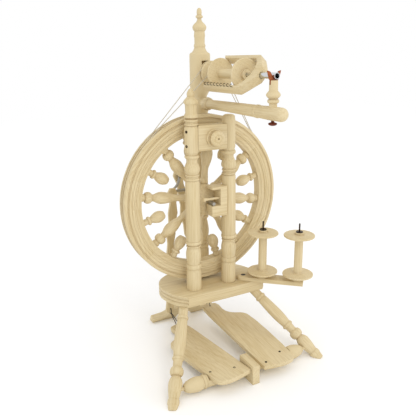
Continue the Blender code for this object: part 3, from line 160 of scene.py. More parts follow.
def sanded_wood(name, light, middle, dark):
    """Close-grained hardwood, turned and sanded and left bare: matt, with faint growth
    rings, thin darker fibres along the grain, short pores that catch the light, and
    painted shade: a browner tone that ambient occlusion lays in the corners of its turnings."""
    material, tree, shader = new_material(name)
    grain = step(tree, "ShaderNodeAttribute", {"attribute_name": "grain"}).outputs["Vector"]
    broad = stretched(tree, grain, 34, 260)
    tone = step(tree, "ShaderNodeTexNoise", {"Scale": 1.0, "Detail": 3.0}, {"Vector": broad})
    fibre = stretched(tree, grain, 2.6, 90)
    streak = step(tree, "ShaderNodeTexNoise", {"Scale": 1.0, "Detail": 5.0, "Roughness": 0.6},
                  {"Vector": fibre})
    ring = stretched(tree, grain, 26, 420)
    rings = step(tree, "ShaderNodeTexWave",
                 {"wave_type": "RINGS", "rings_direction": "Z", "Scale": 0.9, "Distortion": 5.0,
                  "Detail": 2.0, "Detail Scale": 1.2}, {"Vector": ring})
    pore = stretched(tree, grain, 0.8, 11)
    pores = step(tree, "ShaderNodeTexNoise", {"Scale": 1.0, "Detail": 2.0}, {"Vector": pore})
    base = ramp(tree, tone.outputs["Fac"], [(0.32, middle), (0.62, light)])
    lines = ramp(tree, streak.outputs["Fac"], [(0.36, dark), (0.58, light)])
    years = ramp(tree, rings.outputs["Fac"], [(0.0, light), (0.72, light), (0.95, dark)])
    colour = mixed(tree, 0.28, base, lines)
    colour = mixed(tree, 0.08, colour, years)
    # Painted shade: ambient occlusion within 9 mm darkens corners and grooves toward a golden
    # brown, standing in for the shade that falls there.
    nook = step(tree, "ShaderNodeAmbientOcclusion",
                {"samples": 8, "only_local": True, "Distance": 9 * MM})
    painted_shade_amount = step(tree, "ShaderNodeMapRange",
                {"From Min": 0.35, "From Max": 0.95, "To Min": 0.55, "To Max": 0.0},
                {"Value": nook.outputs["AO"]})
    painted_shade_colour = step(tree, "ShaderNodeMix",
                   {"data_type": "RGBA", "blend_type": "MULTIPLY", 7: linear("#9A7438")},
                   {"Factor": painted_shade_amount.outputs["Result"], 6: colour})
    tree.links.new(painted_shade_colour.outputs[2], shader.inputs["Base Color"])
    rough = step(tree, "ShaderNodeMapRange", {"To Min": 0.50, "To Max": 0.68},
                 {"Value": pores.outputs["Fac"]})
    tree.links.new(rough.outputs["Result"], shader.inputs["Roughness"])
    relief = step(tree, "ShaderNodeMath", {"operation": "MULTIPLY_ADD", 1: 0.5},
                  {0: streak.outputs["Fac"], 2: pores.outputs["Fac"]})
    bump = step(tree, "ShaderNodeBump", {"Strength": 0.10, "Distance": 0.0004},
                {"Height": relief.outputs["Value"]})
    tree.links.new(bump.outputs["Normal"], shader.inputs["Normal"])
    shader.inputs["IOR"].default_value = 1.5
    shader.inputs["Specular IOR Level"].default_value = 0.35
    return material


def metal(name, code, roughness, grain_mm, spread):
    """Drawn or polished steel: fine marks that spread its highlights."""
    material, tree, shader = new_material(name)
    place = step(tree, "ShaderNodeTexCoord").outputs["Object"]
    marks = step(tree, "ShaderNodeTexNoise", {"Scale": 1000 / grain_mm, "Detail": 3.0},
                 {"Vector": place})
    rough = step(tree, "ShaderNodeMapRange",
                 {"To Min": roughness - spread, "To Max": roughness + spread},
                 {"Value": marks.outputs["Fac"]})
    tree.links.new(rough.outputs["Result"], shader.inputs["Roughness"])
    tint = ramp(tree, marks.outputs["Fac"], [(0.3, code), (0.75, code)])
    worn = step(tree, "ShaderNodeHueSaturation", {"Value": 0.9}, {"Color": tint})
    shade = mixed(tree, marks.outputs["Fac"], tint, worn.outputs["Color"])
    tree.links.new(shade, shader.inputs["Base Color"])
    shader.inputs["Metallic"].default_value = 1.0
    return material


def hide(name, code, dark, roughness):
    """Vegetable-tanned leather: pebbled grain about 0.8 mm across, its tone darker and lighter in
    broad patches.
    """
    material, tree, shader = new_material(name)
    place = step(tree, "ShaderNodeTexCoord").outputs["Object"]
    cells = step(tree, "ShaderNodeTexVoronoi", {"Scale": 1000 / 0.9}, {"Vector": place})
    cloud = step(tree, "ShaderNodeTexNoise", {"Scale": 1000 / 9, "Detail": 4.0},
                 {"Vector": place})
    colour = ramp(tree, cloud.outputs["Fac"], [(0.3, dark), (0.7, code)])
    tree.links.new(colour, shader.inputs["Base Color"])
    bump = step(tree, "ShaderNodeBump", {"Strength": 0.35, "Distance": 0.0003},
                {"Height": cells.outputs["Distance"]})
    tree.links.new(bump.outputs["Normal"], shader.inputs["Normal"])
    shader.inputs["Roughness"].default_value = roughness
    return material


def twisted_cotton(name):
    """Cotton drive cord: strands about 1.5 mm apart, with soft fibres between them."""
    material, tree, shader = new_material(name)
    place = step(tree, "ShaderNodeTexCoord").outputs["Object"]
    strands = step(tree, "ShaderNodeTexWave", {"Scale": 1000 / 1.5 / 6.28, "Distortion": 1.0},
                   {"Vector": place})
    colour = ramp(tree, strands.outputs["Fac"], [(0.1, "#A79D87"), (0.8, "#DDD5C2")])
    tree.links.new(colour, shader.inputs["Base Color"])
    bump = step(tree, "ShaderNodeBump", {"Strength": 0.4, "Distance": 0.0003},
                {"Height": strands.outputs["Fac"]})
    tree.links.new(bump.outputs["Normal"], shader.inputs["Normal"])
    shader.inputs["Roughness"].default_value = 0.85
    return material


FINISH = {
    "pale_wood": sanded_wood("bare_birch", "#DCCCA6", "#D2BF93", "#AC8D55"),
    "dark_wood": sanded_wood("stained_walnut", "#6A2A10", "#57200B", "#381205"),
    "steel": metal("drawn_steel", "#A9A59C", 0.34, 0.8, 0.06),
    "polished_steel": metal("chromed_steel", "#D6D8DA", 0.16, 1.5, 0.04),
    "dark_steel": metal("oiled_steel", "#3E3024", 0.42, 1.0, 0.08),
    "leather": hide("tanned_leather", "#A85212", "#6E2F0A", 0.55),
    "thong": hide("black_thong", "#1D1B1A", "#0E0D0D", 0.5),
    "cord": twisted_cotton("cotton_cord"),
}


# ---------------------------------------------------------------- making pieces

def fresh():
    if bpy.context.object and bpy.context.object.mode != "OBJECT":
        bpy.ops.object.mode_set(mode="OBJECT")
    bpy.ops.object.select_all(action="DESELECT")


def bead(radius, proud, top, height):
    """A half-round ring standing proud of radius."""
    angles = [math.pi * i / (CURVE_POINTS + 1) for i in range(CURVE_POINTS + 2)]
    middle = top - height / 2
    return [
        (radius + proud * math.sin(a), middle + height / 2 * math.cos(a)) for a in angles
    ]


def belly(radius_top, widest, radius_low, top, height, peak=0.5):
    """A vase swell: from radius_top to widest at the peak and on to radius_low."""
    found = []
    count = 2 * CURVE_POINTS
    for i in range(count + 2):
        t = i / (count + 1)
        if t < peak:
            radius = radius_top + (widest - radius_top) * math.sin(math.pi / 2 * t / peak)
        else:
            share = math.cos(math.pi / 2 * (t - peak) / (1 - peak))
            radius = radius_low + (widest - radius_low) * share
        found.append((radius, top - height * t))
    return found


def mm(points):
    return [(r * MM, z * MM) for r, z in points]


def fitted(profile, low, high):
    """Stretches a profile in height so that it runs from high down to low."""
    top = profile[0][1]
    bottom = profile[-1][1]
    stretch = (high - low) / (top - bottom)
    return [(r, low + (z - bottom) * stretch) for r, z in profile]


def eased(profile, reach=0.8 * MM):
    """Takes the point off each sharp corner of a profile, as sandpaper does."""
    found = [profile[0]]
    for before, here, after in zip(profile, profile[1:], profile[2:]):
        a = Vector(before) - Vector(here)
        b = Vector(after) - Vector(here)
        if a.length < 3 * reach or b.length < 3 * reach or abs(a.angle(b) - math.pi) < 0.4:
            found.append(here)
            continue
        for t in (0, 0.5, 1):
            first = Vector(here) + a.normalized() * reach * (1 - t)
            second = Vector(here) + b.normalized() * reach * t
            found.append(tuple(first + second - Vector(here)))
    return found + [profile[-1]]


def lathe(name, profile, steps=TURNING_STEPS):
    """Draws a profile (radius, z), point by point, and spins it about the Z axis."""
    fresh()
    bpy.ops.mesh.primitive_plane_add(size=0.001, location=(profile[0][0], 0, profile[0][1]))
    obj = bpy.context.object
    obj.name = name
    bpy.ops.object.transform_apply()
    bpy.ops.object.mode_set(mode="EDIT")
    bpy.ops.mesh.merge(type="CENTER")
    for here, there in zip(profile, profile[1:]):
        move = (there[0] - here[0], 0, there[1] - here[1])
        bpy.ops.mesh.extrude_vertices_move(TRANSFORM_OT_translate={"value": move})
    bpy.ops.mesh.select_all(action="SELECT")
    bpy.ops.mesh.spin(steps=steps, angle=2 * math.pi, center=(0, 0, 0), axis=(0, 0, 1))
    bpy.ops.mesh.select_all(action="SELECT")
    bpy.ops.mesh.remove_doubles(threshold=0.00002)
    bpy.ops.mesh.normals_make_consistent(inside=False)
    bpy.ops.object.mode_set(mode="OBJECT")
    return obj


def lay_grain(obj, turn=None, shift=0.0):
    """Stores where each point lies in the timber: Z runs along the grain."""
    turn = turn or Matrix.Identity(3)
    start = Vector((0.37 * shift, 0.61 * shift, 1.9 * shift))
    grain = obj.data.attributes.new("grain", "FLOAT_VECTOR", "POINT")
    for vertex in obj.data.vertices:
        grain.data[vertex.index].vector = turn @ vertex.co + start


def put(obj, place):
    """Moves a finished piece to its place and leaves that place in its mesh."""
    fresh()
    obj.matrix_world = place
    obj.select_set(True)
    bpy.context.view_layer.objects.active = obj
    bpy.ops.object.transform_apply(location=True, rotation=True, scale=True)
    return obj


def smooth(obj, degrees=32):
    fresh()
    obj.select_set(True)
    bpy.context.view_layer.objects.active = obj
    bpy.ops.object.shade_smooth_by_angle(angle=math.radians(degrees))
    return obj


def stands_for(obj, node):
    """The piece takes the place, body and finish of a node of the frame."""
    smooth(obj)
    obj.data.materials.clear()
    obj.data.materials.append(FINISH[SLOT_OF[node]])
    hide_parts(node)
    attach(obj, BODY_OF[node])
    return obj


def extra(obj, body, slot, material=None):
    """A small piece that the frame doesn't have."""
    smooth(obj)
    obj.data.materials.clear()
    obj.data.materials.append(material or FINISH[slot])
    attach(obj, body)
    return obj


def pointing(start, direction):
    """A place at start with local Z along direction."""
    turn = Vector(direction).to_track_quat("Z", "Y").to_matrix().to_4x4()
    return Matrix.Translation(Vector(start)) @ turn


def turned(name, node, profile, place, steps=TURNING_STEPS):
    obj = lathe(name, eased(profile), steps)
    lay_grain(obj, shift=grain_shift(name))
    put(obj, place)
    return stands_for(obj, node)


def grain_shift(name):
    """A different stretch of timber for each piece, from its name."""
    return sum(ord(letter) * (i + 3) for i, letter in enumerate(name)) % 97 / 29


def apply_modifier(obj, modifier):
    fresh()
    obj.select_set(True)
    bpy.context.view_layer.objects.active = obj
    bpy.ops.object.modifier_apply(modifier=modifier.name)


def cut(obj, tool):
    """Takes the tool's shape out of a piece."""
    modifier = obj.modifiers.new("cut", "BOOLEAN")
    modifier.operation = "DIFFERENCE"
    modifier.object = tool
    apply_modifier(obj, modifier)
    bpy.data.objects.remove(tool, do_unlink=True)


def block_tool(low, high):
    fresh()
    low = Vector(low)
    high = Vector(high)
    bpy.ops.mesh.primitive_cube_add(size=1, location=(low + high) / 2, scale=high - low)
    bpy.ops.object.transform_apply()
    return bpy.context.object


def trim(obj, point, normal):
    """Saws a piece off flat and keeps what lies against the normal."""
    fresh()
    obj.select_set(True)
    bpy.context.view_layer.objects.active = obj
    bpy.ops.object.mode_set(mode="EDIT")
    bpy.ops.mesh.select_all(action="SELECT")
    bpy.ops.mesh.bisect(plane_co=point, plane_no=normal, use_fill=True, clear_outer=True)
    bpy.ops.object.mode_set(mode="OBJECT")


def planed(name, node, edge, along, segments=3):
    """A board or block as it is in the frame, with its edges eased by edge."""
    fresh()
    obj = NODES[node].copy()
    obj.data = NODES[node].data.copy()
    obj.name = name
    for key in list(obj.keys()):
        del obj[key]
    bpy.context.scene.collection.objects.link(obj)
    obj.parent = None
    obj.hide_render = False
    obj.select_set(True)
    bpy.context.view_layer.objects.active = obj
    bpy.ops.object.mode_set(mode="EDIT")
    bpy.ops.mesh.select_all(action="SELECT")
    bpy.ops.mesh.remove_doubles(threshold=0.00002)
    bpy.ops.mesh.dissolve_limited(angle_limit=math.radians(1))
    bpy.ops.object.mode_set(mode="OBJECT")
    if edge:
        bevel = obj.modifiers.new("edge", "BEVEL")
        bevel.width = edge
        bevel.segments = segments
        bevel.limit_method = "ANGLE"
        bevel.angle_limit = math.radians(40)
        bevel.use_clamp_overlap = True
        apply_modifier(obj, bevel)
    turn = Vector(along).to_track_quat("Z", "Y").to_matrix().transposed()
    lay_grain(obj, turn, grain_shift(name))
    return stands_for(obj, node)


# ---------------------------------------------------------------- table, legs and foot

UPRIGHT = (0, 0, 1)


def make_table():
    """Table with a moulding of two hollows run round all but its straight front."""
    obj = planed("table_board", "table", 1.6 * MM, (1, 0, 0))
    thick = TABLE_HIGH.z - TABLE_LOW.z
    fresh()
    obj.select_set(True)
    bpy.context.view_layer.objects.active = obj
    bpy.ops.object.mode_set(mode="EDIT")
    for share in (0.26, 0.31, 0.38, 0.43, 0.57, 0.62, 0.69, 0.74):
        bpy.ops.mesh.select_all(action="SELECT")
        bpy.ops.mesh.bisect(plane_co=(0, 0, TABLE_LOW.z + share * thick), plane_no=UPRIGHT)
    bpy.ops.object.mode_set(mode="OBJECT")
    middle = Vector(((TABLE_LOW.x + TABLE_HIGH.x) / 2, (TABLE_LOW.y + TABLE_HIGH.y) / 2, 0))
    normals = [vertex.normal.copy() for vertex in obj.data.vertices]
    for vertex, normal in zip(obj.data.vertices, normals):
        share = (vertex.co.z - TABLE_LOW.z) / thick
        out = Vector((normal.x, normal.y, 0))
        outward = out.dot(Vector((vertex.co.x, vertex.co.y, 0)) - middle) > 0
        hollow = 0.3 < share < 0.39 or 0.61 < share < 0.7
        if hollow and outward and out.length > 0.7 and out.normalized().y > -0.97:
            vertex.co -= out.normalized() * 2.2 * MM
    return smooth(obj, 28)


def leg_profile(length):
    nominal = 262 * MM
    profile = mm([(0, 24), (12.3, 24), (12.3, -30)])
    profile += bead(12.5 * MM, 2.5 * MM, -31 * MM, 9 * MM)
    profile += belly(13.2 * MM, 15.6 * MM, 13 * MM, -42 * MM, 96 * MM, 0.6)
    profile += bead(13 * MM, 2.2 * MM, -140 * MM, 8 * MM)
    profile += mm([(11.6, -152), (11.1, -161)])
    profile += bead(11.2 * MM, 6 * MM, -166 * MM, 22 * MM)
    profile += belly(11 * MM, 17.2 * MM, 12.8 * MM, -189 * MM, 50 * MM, 0.33)
    profile += bead(12.6 * MM, 1.8 * MM, -nominal + 19 * MM, 14 * MM)
    profile += mm([(10.6, -270), (0, -270)])
    return [(r, z * length / nominal) for r, z in profile]


def make_front_leg(side):
    """Leg turned between centres, sawn off level under the table and at the floor."""
    word = "left" if side < 0 else "right"
    under = TABLE_LOW.z - 0.3 * MM
    top = Vector((AXLE.x + (-98 if side < 0 else 118) * MM,
                  AXLE.y + (-78 if side < 0 else -76) * MM, TABLE_LOW.z))
    foot = Vector((AXLE.x + (-216 if side < 0 else 221) * MM, AXLE.y - 254 * MM, 0))
    run = foot - top
    name = "turned_leg_" + word
    obj = lathe(name, eased(leg_profile(run.length)))
    lay_grain(obj, shift=grain_shift(name))
    put(obj, pointing(top, -run))
    trim(obj, (0, 0, under), UPRIGHT)
    trim(obj, (0, 0, 0), (0, 0, -1))
    return stands_for(obj, "front_leg_" + word)


# ---------------------------------------------------------------- posts

def lower_post(cylinder_top):
    profile = [(18.6 * MM, cylinder_top), (19.4 * MM, 326 * MM)]
    profile += bead(18.6 * MM, 1.8 * MM, 324 * MM, 9 * MM)
    profile += mm([(16.8, 313)])
    profile += bead(17 * MM, 2.2 * MM, 312 * MM, 5 * MM)
    profile += belly(17 * MM, 20.4 * MM, 18 * MM, 305 * MM, 43 * MM, 0.45)
    profile += bead(17.6 * MM, 2.8 * MM, 259 * MM, 14 * MM)
    profile += mm([(18, 242), (19.7, 237), (20, 185), (0, 185)])
    return profile


def left_post_profile():
    profile = mm([(0, 718), (5, 715)])
    profile += belly(6.5 * MM, 9.8 * MM, 9 * MM, 712 * MM, 14 * MM, 0.6)
    profile += mm([(12.3, 694), (17.8, 688), (17.9, 681), (14.6, 679), (14.2, 658)])
    profile += mm([(17.3, 653), (17.3, 647), (12.6, 645)])
    profile += bead(15 * MM, 2.4 * MM, 643 * MM, 6 * MM)
    profile += bead(15 * MM, 2.4 * MM, 633 * MM, 6 * MM)
    profile += mm([(17.9, 622), (18.2, 561), (15.3, 557)])
    profile += bead(15.5 * MM, 3 * MM, 554 * MM, 9 * MM)
    profile += mm([(14.2, 542), (14.2, 538)])
    profile += belly(14.4 * MM, 19.9 * MM, 16.6 * MM, 534 * MM, 28 * MM, 0.62)
    profile += bead(16.4 * MM, 2 * MM, 504 * MM, 5 * MM)
    profile += bead(16.4 * MM, 2 * MM, 495 * MM, 7 * MM)
    return profile + lower_post(483 * MM)


def right_post_profile():
    profile = mm([(0, 650), (10.3, 649), (16.2, 645), (16.2, 638), (17.2, 636)])
    profile += mm([(17.4, 566), (15.5, 560)])
    profile += bead(15.7 * MM, 2.8 * MM, 557 * MM, 10 * MM)
    profile += mm([(13.2, 545), (13.1, 541)])
    profile += belly(13.2 * MM, 19.8 * MM, 16 * MM, 538 * MM, 29 * MM, 0.7)
    profile += bead(16 * MM, 2.5 * MM, 507 * MM, 5 * MM)
    profile += bead(16 * MM, 2.6 * MM, 498 * MM, 6 * MM)
    return profile + lower_post(489 * MM)


def rear_post_profile():
    profile = mm([(0, 643), (16, 643), (18.5, 636), (18.5, 600), (16.5, 596)])
    profile += bead(16.5 * MM, 2.2 * MM, 594 * MM, 8 * MM)
    profile += belly(15 * MM, 19.5 * MM, 16.5 * MM, 582 * MM, 42 * MM, 0.6)
    profile += bead(16.5 * MM, 2 * MM, 538 * MM, 7 * MM)
    profile += mm([(18.5, 526), (18.5, 360)])
    profile += bead(16.5 * MM, 2.4 * MM, 356 * MM, 8 * MM)
    profile += belly(14.5 * MM, 19.5 * MM, 16.8 * MM, 344 * MM, 60 * MM, 0.6)
    profile += bead(16.8 * MM, 2.2 * MM, 281 * MM, 9 * MM)
    profile += bead(16.8 * MM, 2.2 * MM, 268 * MM, 9 * MM)
    profile += mm([(19, 252), (19, 185), (0, 185)])
    return profile


def make_post(name, node, profile, low, high):
    middle = (low + high) / 2
    profile = fitted(profile, low.z, high.z)
    return turned(name, node, profile, Matrix.Translation((middle.x, middle.y, 0)))


def make_posts():
    make_post("turned_post_left", "front_post_left", left_post_profile(),
              LEFT_POST_LOW, LEFT_POST_HIGH)
    make_post("turned_post_right", "front_post_right", right_post_profile(),
              RIGHT_POST_LOW, RIGHT_POST_HIGH)
    make_post("turned_post_rear", "rear_post", rear_post_profile(),
              REAR_POST_LOW, REAR_POST_HIGH)


def screw_head(name, place, direction, radius, body):
    """Countersunk screw head with a stepped round recess in its face, a little below the wood."""
    fresh()
    bpy.ops.mesh.primitive_cylinder_add(vertices=24, radius=radius, depth=1.2 * MM)
    obj = bpy.context.object
    obj.name = name
    bpy.ops.object.mode_set(mode="EDIT")
    bpy.ops.mesh.select_all(action="DESELECT")
    bpy.ops.object.mode_set(mode="OBJECT")
    for face in obj.data.polygons:
        face.select = face.normal.z > 0.9
    bpy.ops.object.mode_set(mode="EDIT")
    bpy.ops.mesh.inset(thickness=radius * 0.3, depth=-0.3 * MM)
    bpy.ops.mesh.inset(thickness=radius * 0.2, depth=-0.4 * MM)
    bpy.ops.object.mode_set(mode="OBJECT")
    put(obj, pointing(place, direction))
    return extra(obj, body, "dark_steel")


def make_screws():
    """Screws that show: two in the left post for the crossbar, two in each treadle."""
    middle = (LEFT_POST_LOW + LEFT_POST_HIGH) / 2
    out = Vector((-0.94, -0.34, 0))
    for i, height in enumerate((613, 577)):
        spot = Vector((middle.x, middle.y, height * MM)) + out * 18.2 * MM
        screw_head(f"crossbar_screw_{i + 1}", spot, out, 3.4 * MM, "stand")
    spots = (("left", -99, -225), ("left", -38, -240), ("right", 105, -233),
             ("right", 47, -254))
    for i, (word, x, y) in enumerate(spots):
        tilt = math.radians(-4.9 if word == "left" else 2.9)
        lean = Matrix.Translation(Vector((AXLE.x, HINGE.y, HINGE.z)))
        lean = lean @ Matrix.Rotation(tilt, 4, "X")
        spot = lean @ Vector((x * MM, AXLE.y + y * MM - HINGE.y, 18.1 * MM))
        up = lean.to_3x3() @ Vector(UPRIGHT)
        screw_head(f"treadle_screw_{i + 1}", spot, up, 3.1 * MM, "treadle_" + word)


# ---------------------------------------------------------------- wheel

def rim_profile():
    """Rim section: two drive grooves in its edge and a moulded front face."""
    outer = AXLE.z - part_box("wheel_rim")[0].z
    inner = outer - 48.5 * MM
    half = 20 * MM
    points = [(-5, half), (-1.5, half - 1.2 * MM), (0, half - 4 * MM), (0, 9.5 * MM)]
    for side in (1, -1):
        edges = [(0, 9.5), (-4.5, 8.3), (-6, 6.8), (-6, 4.2), (-4.5, 2.7), (0, 1.5)]
        if side < 0:
            edges.reverse()
        points += [(r, side * z * MM) for r, z in edges]
    points += [(0, -9.5 * MM), (0, -half + 4 * MM), (-1.5, -half + 1.2 * MM), (-5, -half)]
    profile = [(outer + r * MM, z) for r, z in points]
    profile += [(inner + 12 * MM, -half), (inner + 5 * MM, -half + 2 * MM)]
    profile += [(inner, -half + 7 * MM), (inner, half - 7 * MM)]
    front = [(5, 6), (7, 4.4), (9, 3), (16, 3), (17, 1.4), (18.5, 0.5), (20, 0.5), (20.8, 1.2)]
    front += [(21.6, 0.5), (27, 0.5), (27.8, 1.2), (28.6, 0.5)]
    profile += [(inner + r * MM, half - z * MM) for r, z in front]
    back = [(14, 0.5), (13, 2), (12, 2.5), (10, 2.5), (9, 1.2), (8, 0)]
    profile += [(outer - r * MM, half - z * MM) for r, z in back]
    found = []
    for point in profile + [profile[0]]:
        if not found or (Vector(point) - Vector(found[-1])).length > 0.05 * MM:
            found.append(point)
    return found


WHEEL_PLACE = Matrix.Translation(AXLE) @ Matrix.Rotation(math.pi / 2, 4, "X")
FELLOES = 6


def make_rim():
    """Ring of sawn felloes, so the grain turns from one to the next."""
    obj = lathe("moulded_rim", rim_profile(), 120)
    grain = obj.data.attributes.new("grain", "FLOAT_VECTOR", "CORNER")
    share = 2 * math.pi / FELLOES
    for face in obj.data.polygons:
        bearing = math.atan2(face.center.y, face.center.x) + 0.35
        felloe = math.floor(bearing / share)
        back = Matrix.Rotation(-(felloe + 0.5) * share + 0.35, 3, "Z")
        for corner in face.loop_indices:
            place = back @ obj.data.vertices[obj.data.loops[corner].vertex_index].co
            grain.data[corner].vector = (place.x, place.z, place.y + 0.7 * felloe)
    put(obj, WHEEL_PLACE)
    return stands_for(obj, "wheel_rim")


def hub_profile():
    radius = 42 * MM
    profile = mm([(4.8, 34), (9, 34), (9.5, 33), (11, 32.6), (20, 33)])
    profile += mm([(28, 30.4), (34, 27), (35, 26.6), (36, 25), (38.5, 23.4), (40.6, 21), (42, 18)])
    profile += [(radius, 2 * MM), (radius - 0.8 * MM, 1 * MM), (radius, 0)]
    profile += mm([(42, -15), (40.6, -18.6), (38, -22), (30, -25.5), (20, -27), (4.8, -27)])
    profile += [profile[0]]
    return profile


def make_hub():
    return turned("turned_hub", "wheel_hub", hub_profile(), WHEEL_PLACE)


def long_spoke_profile():
    outer = 178.8 * MM
    inner = 42.3 * MM
    profile = [(0, outer), (10 * MM, outer)]
    profile += [(10.5 * MM, outer - 5 * MM), (9 * MM, outer - 9 * MM)]
    profile += bead(9 * MM, 6.5 * MM, outer - 10 * MM, 20 * MM)
    profile += [(9 * MM, outer - 33 * MM)]
    profile += belly(10 * MM, 16 * MM, 9 * MM, outer - 38 * MM, 56 * MM, 0.35)
    profile += [(8.5 * MM, inner + 12 * MM), (11 * MM, inner + 9 * MM)]
    profile += [(11 * MM, inner), (0, inner)]
    return profile


def short_spoke_profile():
    outer = 178.8 * MM
    inner = outer - 62 * MM
    profile = [(0, outer), (9 * MM, outer), (8 * MM, outer - 12 * MM)]
    profile += bead(8.5 * MM, 3.5 * MM, outer - 13 * MM, 8 * MM)
    profile += belly(8.5 * MM, 15.5 * MM, 9 * MM, outer - 24 * MM, 38 * MM, 0.55)
    profile += [(0, inner)]
    return profile


def make_spokes():
    """Eight long and eight short spokes, each a copy of one turning with its own grain."""
    long_one = lathe("long_pattern", eased(long_spoke_profile()), 32)
    short_one = lathe("short_pattern", eased(short_spoke_profile()), 32)
    for i in range(16):
        kind, pattern = ("long", long_one) if i % 2 == 0 else ("short", short_one)
        number = str(i // 2 + 1)
        obj = pattern.copy()
        obj.data = pattern.data.copy()
        obj.name = kind + "_turned_spoke_" + number
        bpy.context.scene.collection.objects.link(obj)
        lay_grain(obj, shift=grain_shift(obj.name))
        turn = Matrix.Rotation(math.radians(8 + 22.5 * i), 4, "Y")
        put(obj, Matrix.Translation(AXLE) @ turn)
        stands_for(obj, kind + "_spoke_" + number)
    for pattern in (long_one, short_one):
        bpy.data.objects.remove(pattern, do_unlink=True)


# ---------------------------------------------------------------- head, arm and maiden

def head_profile():
    top = 268 * MM
    profile = [(0, top), (2.6 * MM, top - 0.6 * MM), (4.5 * MM, top - 2.4 * MM)]
    profile += [(6 * MM, top - 6 * MM), (6.6 * MM, top - 10 * MM), (6.2 * MM, top - 16 * MM)]
    profile += bead(6 * MM, 3.5 * MM, top - 18 * MM, 7 * MM)
    profile += [(5.2 * MM, top - 28 * MM)]
    profile += belly(8 * MM, 18.2 * MM, 14.8 * MM, top - 34 * MM, 22 * MM, 0.62)
    profile += mm([(13.4, 211), (14.7, 199), (13.6, 195), (13.4, 181), (15.7, 175)])
    profile += mm([(14.3, 171), (15, 169), (17, 164), (20.8, 159), (25.3, 157), (27.3, 153)])
    profile += mm([(27.3, 73), (26.4, 66), (24.8, 60), (18.6, 49), (17.2, 45)])
    profile += belly(18 * MM, 22.5 * MM, 20.6 * MM, 42 * MM, 36 * MM, 0.5)
    profile += mm([(20, 0), (0, 0)])
    return profile


def make_head():
    """Head with its slot for the rear bearing."""
    middle = (HEAD_LOW + HEAD_HIGH) / 2
    obj = lathe("turned_head", eased(head_profile()))
    lay_grain(obj, shift=grain_shift("turned_head"))
    put(obj, Matrix.Translation((middle.x, middle.y, HEAD_LOW.z)))
    slot_low = (FLYER.x - 11 * MM, AXLE.y - 20 * MM, FLYER.z - 22 * MM)
    slot_high = (FLYER.x + 11 * MM, AXLE.y + 44 * MM, FLYER.z + 31 * MM)
    cut(obj, block_tool(slot_low, slot_high))
    return stands_for(obj, "head_post")


def make_arm():
    low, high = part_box("flyer_arm")
    length = high.y - low.y
    end = 15 * MM
    profile = mm([(0, 0), (12, 0), (12, -24)])
    profile += bead(12 * MM, 5 * MM, -25 * MM, 22 * MM)
    profile += [(11.6 * MM, -50 * MM), (14 * MM, -length + 112 * MM)]
    profile += bead(13.6 * MM, 1.6 * MM, -length + 108 * MM, 12 * MM)
    profile += [(14 * MM, -length + 92 * MM), (end, -length + 60 * MM), (end, -length + 14 * MM)]
    profile += [
        (end * math.cos(t), -length + 14 * MM * (1 - math.sin(t))) for t in (0.35, 0.7, 1.05, 1.35)
    ]
    profile += [(0, -length)]
    middle = (low + high) / 2
    place = pointing((middle.x, high.y, HEAD_LOW.z + 29 * MM), (0, 1, 0))
    return turned("turned_arm", "flyer_arm", profile, place)


def make_maiden():
    low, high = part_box("front_maiden")
    middle = (low + high) / 2
    top = high.z
    seat = HEAD_LOW.z + 29 * MM + 12.3 * MM
    profile = [(0, top), (9.4 * MM, top), (9.6 * MM, top - 20 * MM)]
    profile += belly(10 * MM, 15.6 * MM, 11.5 * MM, top - 22 * MM, 14 * MM, 0.6)
    profile += [(9.6 * MM, top - 38 * MM)]
    profile += bead(9.6 * MM, 3.2 * MM, top - 39 * MM, 8 * MM)
    profile += [(8.7 * MM, top - 48 * MM), (8.7 * MM, seat), (5 * MM, seat)]
    profile += [(5 * MM, low.z), (0, low.z)]
    place = Matrix.Translation((middle.x, middle.y, 0))
    obj = lathe("turned_maiden", eased(profile))
    lay_grain(obj, shift=grain_shift("turned_maiden"))
    put(obj, place)
    slit = 2.5 * MM
    cut(obj, block_tool((middle.x - 0.02, middle.y - slit, top - 9 * MM),
                        (middle.x + 0.02, middle.y + slit, top + 0.01)))
    return stands_for(obj, "front_maiden")


def make_lock_knob():
    low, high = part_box("maiden_lock_knob")
    middle = (low + high) / 2
    top = high.z
    profile = [(0, top), (3.5 * MM, top), (3.5 * MM, top - 3 * MM), (8.6 * MM, top - 4.6 * MM)]
    profile += [(9.8 * MM, top - 6 * MM), (9 * MM, top - 8.5 * MM), (6.6 * MM, top - 9.7 * MM)]
    profile += [(4 * MM, top - 10.5 * MM), (0, top - 11 * MM)]
    return turned("stained_lock_knob", "maiden_lock_knob", profile,
                  Matrix.Translation((middle.x, middle.y, 0)))


def make_crossbar_knob():
    """Knob with a base ring, a hollow waist and a ringed face with a small centre hole."""
    place = Vector(JOINTS["knob_turn"]["pos_m"])
    profile = mm([(0, 21), (1.8, 21), (2.1, 24.4), (3, 24.8), (9.2, 24.2), (9.7, 23.6)])
    profile += mm([(10.3, 24), (14.5, 23.3), (17, 22.2), (19.4, 20.4), (20, 19), (19.4, 16.5)])
    profile += mm([(17.4, 13), (16.2, 10.6), (16.2, 9), (17.6, 8.6), (18.2, 7.4), (21.5, 7)])
    profile += mm([(23, 5.6), (23, 1.2), (22, 0.3), (5, 0.3), (5, -16), (0, -16)])
    turn = Matrix.Rotation(math.pi / 2, 4, "X")
    return turned("turned_crossbar_knob", "crossbar_knob", profile,
                  Matrix.Translation(place) @ turn)


def make_peg():
    low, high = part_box("keeper_peg")
    middle = (low + high) / 2
    length = high.x - low.x
    profile = mm([(0, 0), (3, -0.2), (4.6, -0.8), (6, -2.5), (5.6, -4.8), (4.4, -8), (3, -13)])
    profile += [(3 * MM, -length), (0, -length)]
    return turned("turned_peg", "keeper_peg", profile,
                  pointing((low.x, middle.y, middle.z), (-1, 0, 0)), 24)


# ---------------------------------------------------------------- flyer and bobbins

FLYER_TURN = Matrix.Translation((FLYER.x, FLYER.y, FLYER.z))
FLYER_AXIS = FLYER_TURN @ Matrix.Rotation(math.pi / 2, 4, "X")


